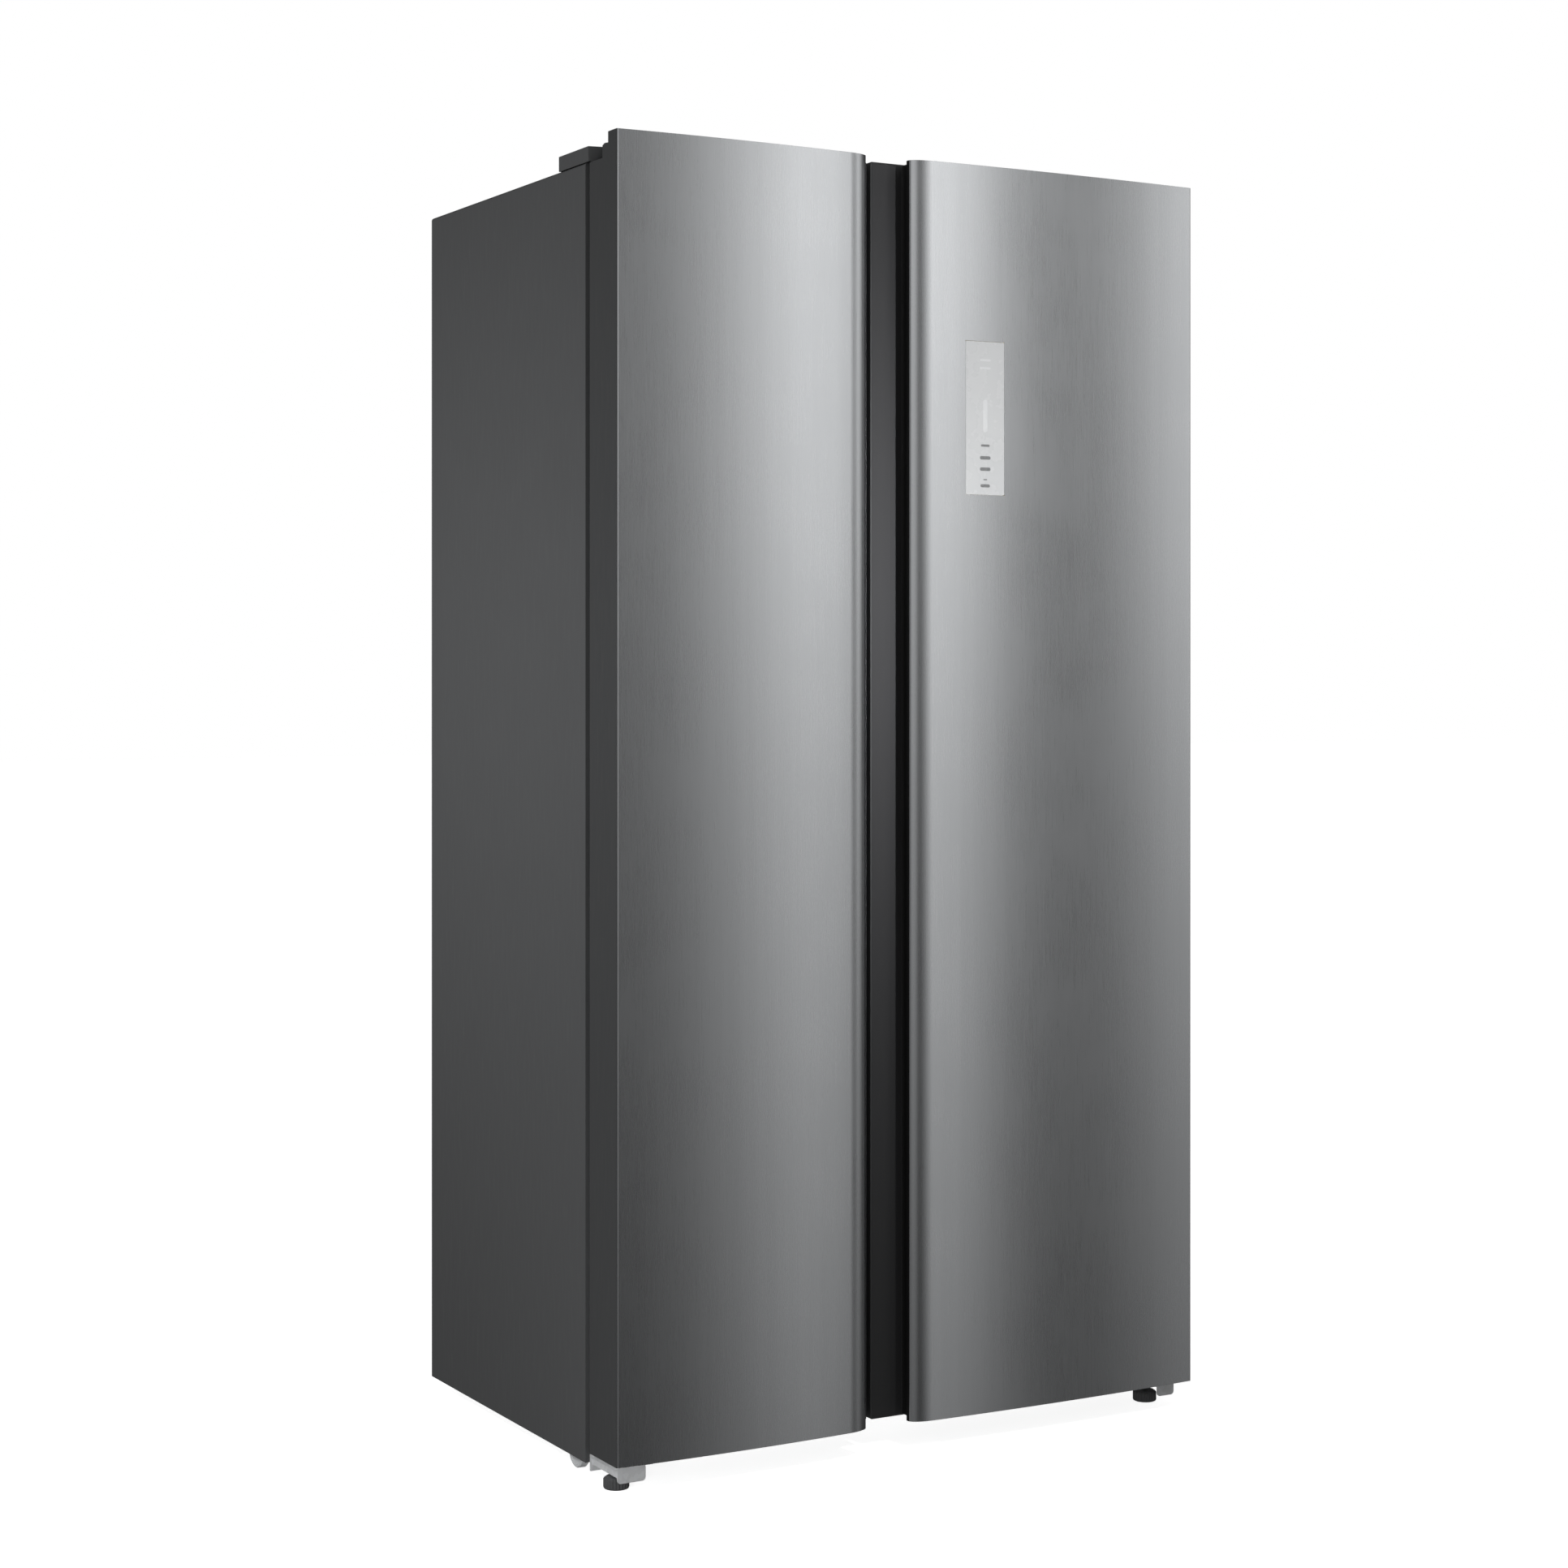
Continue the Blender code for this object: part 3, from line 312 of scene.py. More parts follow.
def moulded(name, base, roughness, grain=0.0006, depth=0.00005, metallic=0.0, coat=0.0):
    """Plastic or paint with a fine texture, scuffed a little where it's handled."""
    made = Finish(name)
    fine = made.noise(grain, detail=2.0)
    wide = made.noise(0.09, detail=4.0)
    scuffs = made.noise(0.006, (1, 1, 0.15), 5.0) ** 4.0
    return made.set(
        Base_Color=made.shaded(base, 0.09, wide * 0.6 + fine * 0.4),
        Metallic=metallic,
        Roughness=roughness + wide * 0.10 - scuffs * 0.25,
        Normal=made.bump(fine, depth, 0.5),
        Coat_Weight=coat,
        Coat_Roughness=0.15,
    )


def clear(name, base, alpha, roughness):
    """Clear moulded plastic or glass, a little more solid where it is smudged."""
    made = Finish(name)
    wide = made.noise(0.07, detail=3.0)
    smudges = made.noise(0.015, (1, 1, 0.4), 4.0) ** 3.0
    return made.set(
        Base_Color=made.shaded(base, 0.05, wide),
        Roughness=roughness + smudges * 0.35,
        Alpha=alpha + wide * 0.08 + smudges * 0.25,
        Normal=made.bump(wide, 0.0004, 0.10),
        IOR=1.5,
    )


def plated(name, base):
    """Zinc plating: large pale crystals and a slight bloom."""
    made = Finish(name)
    crystals = made.cells(0.007, output="Color")
    tone = made.add("ShaderNodeSeparateColor", inputs={"Color": crystals})
    bloom = made.noise(0.03, detail=4.0)
    return made.set(
        Base_Color=made.shaded(base, 0.12, tone * 0.6 + bloom * 0.4),
        Metallic=0.30,
        Roughness=0.30 + tone * 0.10 + bloom * 0.10,
        Normal=made.bump(bloom, 0.0001, 0.2),
    )


def foamed(name, base):
    made = Finish(name)
    cells = made.cells(0.0016)
    wide = made.noise(0.05, detail=4.0)
    return made.set(
        Base_Color=made.shaded(base, 0.15, cells * 0.5 + wide * 0.5),
        Roughness=0.92,
        Normal=made.bump(cells, 0.0008, 0.8),
    )


def tube_metal(name, base):
    """Drawn tube with darker, duller patches."""
    made = Finish(name)
    patches = made.noise(0.02, detail=5.0) ** 2.0
    dull = tuple(part * 0.45 for part in base)
    return made.set(
        Base_Color=made.mix(patches, base, dull),
        Metallic=1.0,
        Roughness=0.25 + patches * 0.35,
        Normal=made.bump(patches, 0.0001, 0.2),
    )


def display_glass(name, base, glow):
    """A panel behind glass that glows. On the face and its marks the glow is painted light, standing in for
    light falling on a pale panel.
    """
    made = Finish(name)
    smudges = made.noise(0.02, detail=4.0) ** 3.0
    depth = made.noise(0.05, (1, 1, 0.5), 2.0)
    lit = tuple(part / max(base) for part in base)
    return made.set(
        Base_Color=made.shaded(base, 0.04, depth),
        Roughness=0.20 + smudges * 0.5,
        Emission_Color=made.shaded(lit, 0.02, depth),
        Emission_Strength=glow,
        Normal=made.bump(depth, 0.0002, 0.05),
    )


def finishes():
    """The finish of each material slot."""
    colours = settings().colours
    shades = {name: tuple(getattr(colours, name))
              for name in Colours.__annotations__ if name != "display_glow"}
    return {
        "door_steel": brushed("brushed_door_steel", shades["steel"], (1, 1, 0.012), 0.22),
        "cabinet_paint": moulded("grey_cabinet_paint", shades["paint"], 0.46, 0.0011, 0.00004),
        "door_side": moulded("grey_door_side", shades["side"], 0.46, 0.0011, 0.00004),
        # Black painted shade for the channel walls under the hem and for the grip's end.
        "painted_shade_channel": moulded("black_channel_side", shades["channel"], 0.80),
        "channel_floor": moulded("dark_channel_floor", shades["strip"], 0.55),
        "plated_steel": plated("zinc_plated_steel", shades["plating"]),
        "dark_plastic": moulded("dark_moulded_plastic", shades["dark"], 0.46),
        "white_plastic": moulded("white_formed_plastic", shades["white"], 0.34, 0.002),
        "grey_plastic": moulded("grey_moulded_plastic", shades["grey"], 0.42),
        "clear_plastic": clear("clear_moulded_plastic", shades["clear"], 0.34, 0.10),
        "shelf_glass": clear("tempered_glass", shades["glass"], 0.30, 0.03),
        # The face and its marks glow with painted light standing in for light falling on the pale panel.
        "display_face": display_glass("display_glass", shades["display"], colours.display_glow),
        "display_lights": display_glass("display_light_bars", shades["display"], colours.display_glow * 1.25),
        "display_marks": display_glass("display_grey_marks", shades["marks"], colours.display_glow * 0.28),
        "seal_rubber": moulded("seal_rubber", shades["rubber"], 0.72, 0.0008, 0.0001),
        "insulating_foam": foamed("insulating_foam", shades["foam"]),
        "black_enamel": moulded("black_enamel", shades["enamel"], 0.30, 0.003, 0.00006, coat=0.5),
        "aluminium": brushed("drawn_aluminium", shades["aluminium"], (1, 0.02, 1), 0.32),
        "copper_tube": tube_metal("copper_tube", shades["copper"]),
    }


# Shapes

PLANES = {"X": (1, 2, 0), "Y": (0, 2, 1), "Z": (0, 1, 2)}


def mesh_from(builder):
    bmesh.ops.recalc_face_normals(builder, faces=builder.faces)
    mesh = bpy.data.meshes.new("shape")
    builder.to_mesh(mesh)
    builder.free()
    return mesh


def placed(axis, a, b, along):
    """A point given in the plane across an axis and along that axis."""
    point = [0.0, 0.0, 0.0]
    first, second, third = PLANES[axis]
    point[first] = a
    point[second] = b
    point[third] = along
    return point


def skinned(rings, ends=True):
    """A closed surface through rings of points, with its two ends filled or joined to each other."""
    builder = bmesh.new()
    loops = [[builder.verts.new(point) for point in ring] for ring in rings]
    pairs = list(zip(loops, loops[1:]))
    if ends:
        builder.faces.new(loops[0])
        builder.faces.new(loops[-1])
    else:
        pairs.append((loops[-1], loops[0]))
    for ring, following in pairs:
        for i in range(len(ring)):
            builder.faces.new((ring[i - 1], ring[i], following[i], following[i - 1]))
    return mesh_from(builder)


def prism(outline, axis, low, high):
    return skinned([[placed(axis, a, b, level) for a, b in outline] for level in (low, high)])


def block(x, y, z):
    low_x, high_x = sorted(x)
    return prism([(low_x, y[0]), (high_x, y[0]), (high_x, y[1]), (low_x, y[1])], "Z", z[0], z[1])


def arc(centre, radius, start, end, steps):
    """Points on a circle from one angle to another, in degrees."""
    angles = [math.radians(start + (end - start) * i / steps) for i in range(steps + 1)]
    return [(centre[0] + radius * math.cos(t), centre[1] + radius * math.sin(t)) for t in angles]


def rod(axis, centre, radius, low, high, sides=32):
    return prism(arc(centre, radius, 0, 360, sides)[:-1], axis, low, high)


def rounded(low_a, high_a, low_b, high_b, radius, steps=6):
    """A rectangle with round corners."""
    points = arc((high_a - radius, high_b - radius), radius, 0, 90, steps)
    points += arc((low_a + radius, high_b - radius), radius, 90, 180, steps)
    points += arc((low_a + radius, low_b + radius), radius, 180, 270, steps)
    points += arc((high_a - radius, low_b + radius), radius, 270, 360, steps)
    return points


def turned(profile, axis, centre, sides=64, ribs=0, rib_depth=0.0):
    """A profile of (radius, along) points spun round an axis, with ribs round it if asked."""
    rings = []
    for radius, along in profile:
        ring = []
        for i in range(sides):
            t = 2 * math.pi * i / sides
            reach = radius - rib_depth * (0.5 - 0.5 * math.cos(ribs * t)) if ribs else radius
            ring.append(placed(axis, centre[0] + reach * math.cos(t), centre[1] + reach * math.sin(t), along))
        rings.append(ring)
    return skinned(rings)


def ringed(outline, profile):
    """A frame: a profile of (inset, y) points carried round an outline that shrinks by the inset."""
    return skinned([[(x, y, z) for x, z in outline(inset)] for inset, y in profile], ends=False)


def joined(meshes):
    builder = bmesh.new()
    for mesh in meshes:
        builder.from_mesh(mesh)
    return mesh_from(builder)


def bevelled(mesh, width, steps, chosen):
    """A mesh with the sharp edges rounded whose two ends are both chosen."""
    builder = bmesh.new()
    builder.from_mesh(mesh)
    edges = [edge for edge in builder.edges
             if all(chosen(corner.co) for corner in edge.verts) and edge.calc_face_angle(0) > SHARP]
    bmesh.ops.bevel(builder, geom=edges, offset=width, segments=steps, affect="EDGES", profile=0.5)
    return mesh_from(builder)


def copy_of(node):
    """A CAD node's mesh with its facets joined into whole faces."""
    builder = bmesh.new()
    builder.from_mesh(frame["nodes"][node].data)
    bmesh.ops.remove_doubles(builder, verts=builder.verts, dist=0.00001)
    bmesh.ops.dissolve_limit(builder, angle_limit=math.radians(0.5), verts=builder.verts, edges=builder.edges)
    for layer in (builder.loops.layers.uv, builder.loops.layers.float_vector):
        for key in list(layer.keys()):
            layer.remove(layer[key])
    return mesh_from(builder)


# Pieces

FINISHED = {}


def slot_of(node):
    return frame["nodes"][node].data.materials[0].name


def body_of(node):
    return frame["nodes"][node]["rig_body"]


def cut(piece, operation, meshes):
    for mesh in meshes:
        tool = bpy.data.objects.new("tool", mesh)
        bpy.context.scene.collection.objects.link(tool)
        modifier = piece.modifiers.new(operation.title(), "BOOLEAN")
        modifier.operation = operation
        modifier.object = tool
        modifier.solver = "EXACT"


def settle(piece):
    """Turns a piece's modifiers into its mesh and removes the tools that they used."""
    tools = [modifier.object for modifier in piece.modifiers if modifier.type == "BOOLEAN"]
    graph = bpy.context.evaluated_depsgraph_get()
    mesh = bpy.data.meshes.new_from_object(piece.evaluated_get(graph))
    piece.modifiers.clear()
    piece.data = mesh
    for tool in tools:
        bpy.data.objects.remove(tool, do_unlink=True)


def soften(piece, width, steps=2):
    """Rounds a piece's sharp edges with a bevel."""
    modifier = piece.modifiers.new("Soft edges", "BEVEL")
    modifier.width = width
    modifier.segments = steps
    modifier.limit_method = "ANGLE"
    modifier.angle_limit = math.radians(38)
    modifier.miter_outer = "MITER_SHARP"
    settle(piece)


def smooth(piece):
    """Shades a piece smooth between its sharp edges, with its flat faces kept flat."""
    piece.data.shade_smooth()
    piece.data.set_sharp_from_angle(angle=SHARP)
    modifier = piece.modifiers.new("Even light", "WEIGHTED_NORMAL")
    modifier.keep_sharp = True
    settle(piece)


def add(name, mesh, body, slot, edge=0.0, cuts=(), additions=(), stands_for=(), steps=2):
    """A finished piece that rides on a body and takes the finish of a slot."""
    piece = bpy.data.objects.new(name, mesh)
    bpy.context.scene.collection.objects.link(piece)
    cut(piece, "DIFFERENCE", cuts)
    cut(piece, "UNION", additions)
    if cuts or additions:
        settle(piece)
    if edge:
        soften(piece, edge, steps)
    piece.data.materials.clear()
    piece.data.materials.append(FINISHED[slot])
    smooth(piece)
    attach(piece, body)
    if stands_for:
        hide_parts(*stands_for)
    return piece


def softened(node, edge, steps=2, even=False):
    """A CAD node with its edges rounded. Even triangles keep thin bent sheet from folding at the bevel."""
    mesh = copy_of(node)
    if even:
        builder = bmesh.new()
        builder.from_mesh(mesh)
        bmesh.ops.triangulate(builder, faces=builder.faces, quad_method="BEAUTY", ngon_method="BEAUTY")
        mesh = mesh_from(builder)
    return add(f"{node}_body", mesh, body_of(node), slot_of(node), edge, stands_for=[node], steps=steps)


def screw(axis, spot, radius, height, outward):
    """A pan head screw, as a mesh, facing along its axis. Its cross recess is cut by screws."""
    base = spot[PLANES[axis][2]]
    centre = (spot[PLANES[axis][0]], spot[PLANES[axis][1]])
    profile = [(radius, base), (radius, base + outward * height * 0.35)]
    profile += [(radius * math.cos(t), base + outward * height * (0.35 + 0.65 * math.sin(t)))
                for t in (0.4, 0.8, 1.2)]
    return turned(profile, axis, centre, 24)


def cross(axis, spot, radius, height, outward):
    """The recess of a screw, as a cutter."""
    a, b, c = PLANES[axis]
    level = spot[c] + outward * height * 0.55
    arms = []
    for wide, tall in ((0.62, 0.16), (0.16, 0.62)):
        ends = sorted((level, level + outward * height))
        low = placed(axis, spot[a] - radius * wide, spot[b] - radius * tall, ends[0])
        high = placed(axis, spot[a] + radius * wide, spot[b] + radius * tall, ends[1])
        arms.append(block((low[0], high[0]), (low[1], high[1]), (low[2], high[2])))
    return arms


def screws(name, axis, spots, radius, height, outward, body, slot="plated_steel"):
    heads = joined([screw(axis, spot, radius, height, outward) for spot in spots])
    arms = [cross(axis, spot, radius, height, outward) for spot in spots]
    cutters = [joined([pair[0] for pair in arms]), joined([pair[1] for pair in arms])]
    return add(name, heads, body, slot, cuts=cutters)


# Doors


class Door:
    """A door's places, read from its CAD pieces."""

    def __init__(self, name, side):
        low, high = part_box(f"{name}_skin")
        self.name = name
        self.side = side
        self.sizes = settings().door
        self.outer = high.x if side > 0 else low.x
        self.grip = high.x - low.x
        self.front = low.y + self.sizes.bow
        self.bottom = low.z
        self.top = high.z
        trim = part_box(f"{name}_handle_trim")
        self.width = abs((trim[0].x if side > 0 else trim[1].x) - self.outer)

    def x(self, u):
        return self.outer - self.side * u

    def span(self, low, high):
        return sorted((self.x(low), self.x(high)))

    def plan(self, points):
        return [(self.x(u), self.front + v) for u, v in points]

    def depth(self, u):
        """How far the bowed front stands out at a place."""
        return -self.sizes.bow * (1 - (2 * u / self.grip - 1) ** 2)

    def path(self, inset):
        """The front in plan, from the back of the hinge side to the end of the rounded grip."""
        sizes = self.sizes
        start = sizes.corner
        end = self.grip - sizes.grip_reach
        points = [(inset, sizes.skin_back)]
        points += arc((start, self.depth(start) + start), start - inset, 180, 270, 8)
        steps = 48
        points += [(start + (end - start) * i / steps, self.depth(start + (end - start) * i / steps) + inset)
                   for i in range(1, steps)]
        for i in range(33):
            t = math.radians(90 * i / 32)
            u = end + (sizes.grip_reach - inset) * math.sin(t)
            points.append((u, self.depth(u) + inset + (sizes.grip_drop - inset) * (1 - math.cos(t))))
        points += [(self.grip - inset, sizes.hem_depth - inset)]
        return points + [(self.grip - sizes.hem_width, sizes.hem_depth - inset)]

    def hinge_pocket(self):
        sizes = self.sizes
        low, high = self.span(-0.01, sizes.pocket_reach)
        back = self.front + 0.12
        above = self.top + 0.01
        return [block((low, high), (self.front + sizes.lip, back), (self.top - sizes.step_fall, above)),
                block((low, high), (self.front + sizes.step, back), (self.top - sizes.pocket_fall, above))]


def both_doors():
    return [Door("freezer_door", -1), Door("fridge_door", 1)]


def display_cutter():
    low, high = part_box("display_panel")
    return block((low.x - GAP, high.x + GAP), (low.y - 0.02, high.y), (low.z - GAP, high.z + GAP))


class REFRIGERATOR_OT_skins(Operator):
    """Bowed steel fronts with a rounded grip, painted down their hinge sides"""

    bl_idname = "refrigerator.skins"
    bl_label = "Door skins"

    def execute(self, context):
        for door in both_doors():
            sizes = door.sizes
            outline = door.plan(door.path(0) + door.path(sizes.sheet)[::-1])
            shape = prism(outline, "Z", door.bottom, door.top)
            cuts = door.hinge_pocket()
            if door.side > 0:
                cuts.append(display_cutter())
            piece = add(f"{door.name}_front", shape, door.name, "door_steel", sizes.fold, cuts,
                        stands_for=[f"{door.name}_skin"])
            self.paint_side(piece, door)
        return {"FINISHED"}

    def paint_side(self, piece, door):
        """The skin's hinge side is painted grey, and its edge in the handle channel gets black painted shade.
        """
        piece.data.materials.append(FINISHED["door_side"])
        piece.data.materials.append(FINISHED["painted_shade_channel"])
        tip = door.x(door.grip)
        hem = door.front + door.sizes.grip_drop - 0.003
        edge = door.x(door.sizes.corner)
        for face in piece.data.polygons:
            if abs(face.center.x) > abs(edge) and face.center.y > door.front + door.sizes.corner * 0.12:
                face.material_index = 1
            # The grip's end faces get black painted shade, a dark line where the gap's shade falls.
            elif abs(face.center.x - tip) < 0.0006 and face.center.y > hem:
                face.material_index = 2


class REFRIGERATOR_OT_trims(Operator):
    """Handle channels and end caps in dark plastic, with black painted shade on the channel walls"""

    bl_idname = "refrigerator.trims"
    bl_label = "Handle trims and caps"

    def execute(self, context):
        for door in both_doors():
            self.blacken(softened(f"{door.name}_handle_trim", 0.0006), door)
            softened(f"{door.name}_cap_top", 0.0006)
            softened(f"{door.name}_cap_bottom", 0.0006)
        return {"FINISHED"}

    def blacken(self, piece, door):
        """The channel's walls under the steel's hem get black painted shade, and its floor is dark grey."""
        piece.data.materials.append(FINISHED["painted_shade_channel"])
        piece.data.materials.append(FINISHED["channel_floor"])
        for face in piece.data.polygons:
            inside = abs(face.center.x - door.outer) < door.grip - 0.0065
            if face.center.y > door.front + 0.0405:
                continue
            # Faces under the hem: black painted shade.
            if inside and face.center.y < door.front + 0.0397:
                face.material_index = 1
            elif face.normal.y < -0.7:
                face.material_index = 2


class REFRIGERATOR_OT_display(Operator):
    """The flush control panel with its light bars and plain marks"""

    bl_idname = "refrigerator.display"
    bl_label = "Control panel"

    def execute(self, context):
        door = both_doors()[1]
        low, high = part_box("display_panel")
        steps = 16
        near, far = sorted((abs(door.outer - high.x), abs(door.outer - low.x)))
        front = [(near + (far - near) * i / steps) for i in range(steps + 1)]
        outline = [(u, door.depth(u) - 0.0002) for u in front]
        back = high.y - door.front
        plate = prism(door.plan(outline + [(far, back), (near, back)]), "Z", low.z, high.z)
        corners = prism(rounded(low.x, high.x, low.z, high.z, 0.0015, 4), "Y", low.y - 0.02, high.y + 0.02)
        piece = add("display_face", plate, door.name, "display_face", stands_for=["display_panel"])
        cut(piece, "INTERSECT", [corners])
        settle(piece)
        soften(piece, 0.0005)
        smooth(piece)
        self.marks(door, (near + far) / 2, high.z)
        return {"FINISHED"}

    def inlay(self, door, name, outlines, finish, proud):
        """Thin shapes laid on the bowed glass."""
        meshes = []
        for outline in outlines:
            rings = [[(door.x(u), door.front + door.depth(u) - 0.0002 + v, z) for u, z in outline]
                     for v in (-proud, 0.0005)]
            meshes.append(skinned(rings))
        piece = add(name, joined(meshes), door.name, "display_face")
        piece.data.materials[0] = FINISHED[finish]

    def marks(self, door, middle, top):
        bars = [(0.024, 0.003), (0.035, 0.003)]
        light = [rounded(middle - 0.0085, middle + 0.0085, top - drop - tall, top - drop, 0.0012)
                 for drop, tall in bars]
        light.append(rounded(middle - 0.0035, middle + 0.0035, top - 0.124, top - 0.080, 0.0030))
        self.inlay(door, "display_lights", light, "display_lights", 0.00010)
        dark = []
        for drop, half, tall in ((0.141, 0.0070, 0.0032), (0.157, 0.0085, 0.0048), (0.1725, 0.0085, 0.0048),
                                 (0.1955, 0.0075, 0.0044)):
            dark.append(rounded(middle - half, middle + half, top - drop - tall, top - drop, tall * 0.45))
        self.inlay(door, "display_marks", dark, "display_marks", 0.00012)
        small = [rounded(middle - 0.003, middle + 0.003, top - 0.190, top - 0.1885, 0.0006)]
        self.inlay(door, "display_dash", small, "display_marks", 0.00010)


class REFRIGERATOR_OT_door_liners(Operator):
    """Formed inner faces of the doors, with seals that have a soft fold"""

    bl_idname = "refrigerator.door_liners"
    bl_label = "Door liners and seals"

    def execute(self, context):
        for door in both_doors():
            self.liner(door)
            self.seal(door)
        return {"FINISHED"}

    def liner(self, door):
        name = f"{door.name}_liner"
        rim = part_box(name)[1].y - 0.0005
        mesh = bevelled(copy_of(name), 0.005, 4, lambda spot: spot.y > rim)
        add(f"{name}_body", mesh, door.name, "white_plastic", stands_for=[name])

    def seal(self, door):
        name = f"{door.name}_gasket"
        low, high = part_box(name)

        def outline(inset):
            return rounded(low.x + inset, high.x - inset, low.z + inset, high.z - inset, 0.014 - inset / 2)

        foot, back = low.y, high.y
        width = 0.015
        rise = back - foot
        profile = [(0.0, foot), (0.0, foot + 0.0030), (0.0008, foot + 0.0036), (0.0024, foot + 0.0042)]
        profile += [(0.0016, foot + rise * 0.55), (0.0022, foot + rise * 0.72), (0.0036, back - 0.0012)]
        profile += [(0.0050, back - 0.0002), (width / 2, back), (width - 0.0050, back - 0.0002)]
        profile += [(width - 0.0036, back - 0.0012), (width - 0.0022, foot + rise * 0.72)]
        profile += [(width - 0.0016, foot + rise * 0.55), (width - 0.0024, foot + 0.0042)]
        profile += [(width - 0.0008, foot + 0.0036), (width, foot + 0.0030), (width, foot)]
        add(f"{name}_body", ringed(outline, profile), door.name, "seal_rubber", stands_for=[name])


class REFRIGERATOR_OT_bins(Operator):
    """Clear door bins with a rail along the front"""

    bl_idname = "refrigerator.bins"
    bl_label = "Door bins"

    def execute(self, context):
        for door in both_doors():
            for node in [name for name in frame["nodes"] if name.startswith(f"{door.name}_bin")]:
                softened(node, 0.0007)
                self.rail(door, node)
        return {"FINISHED"}

    def rail(self, door, node):
        low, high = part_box(node)
        top = low.z + 0.082

        def outline(inset):
            points = [(high.x - inset, low.y + 0.080)]
            points += arc((high.x - 0.020, high.y - 0.020), 0.020 - inset, 0, 90, 8)
            points += arc((low.x + 0.020, high.y - 0.020), 0.020 - inset, 90, 180, 8)
            return points + [(low.x + inset, low.y + 0.080)]

        band = outline(-0.0012) + outline(-0.00015)[::-1]
        add(f"{node}_rail", prism(band, "Z", top - 0.014, top - 0.001), door.name, "grey_plastic", 0.0004)


# Cabinet


class REFRIGERATOR_OT_shell(Operator):
    """The painted wrap, the mullion and the embossed rear panel"""

    bl_idname = "refrigerator.shell"
    bl_label = "Cabinet shell"

    def execute(self, context):
        softened("cabinet_wrap", 0.0005, even=True)
        softened("mullion_rail", 0.0004)
        self.rear_panel()
        return {"FINISHED"}

    def rear_panel(self):
        """A sheet with raised stiffening fields, screwed round its edge."""
        low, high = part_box("rear_panel")
        columns, rows = 3, 4
        margin = 0.035
        wide = (high.x - low.x - margin * (columns + 1)) / columns
        tall = (high.z - low.z - margin * (rows + 1)) / rows
        fields = []
        for i in range(columns):
            for k in range(rows):
                x = low.x + margin + i * (wide + margin)
                z = low.z + margin + k * (tall + margin)
                rings = []
                for inset, y in ((0.0, high.y - 0.0006), (0.0, high.y), (0.008, high.y + 0.0025),
                                 (0.012, high.y + 0.0028), (0.018, high.y + 0.0010)):
                    outline = rounded(x + inset, x + wide - inset, z + inset, z + tall - inset, 0.030 - inset)
                    rings.append([(a, y, b) for a, b in outline])
                fields.append(skinned(rings))
        sheet = block((low.x, high.x), (low.y, high.y), (low.z, high.z))
        add("rear_panel_sheet", sheet, "cabinet", "cabinet_paint", additions=[joined(fields)],
            stands_for=["rear_panel"])
        spots = [(x, high.y, z) for x in (low.x + 0.014, high.x - 0.014)
                 for z in [low.z + 0.02 + i * (high.z - low.z - 0.04) / 5 for i in range(6)]]
        spots += [(x, high.y, high.z - 0.014) for x in (-0.22, 0.0, 0.22)]
        screws("rear_panel_screws", "Y", spots, 0.0045, 0.0024, 1, "cabinet")


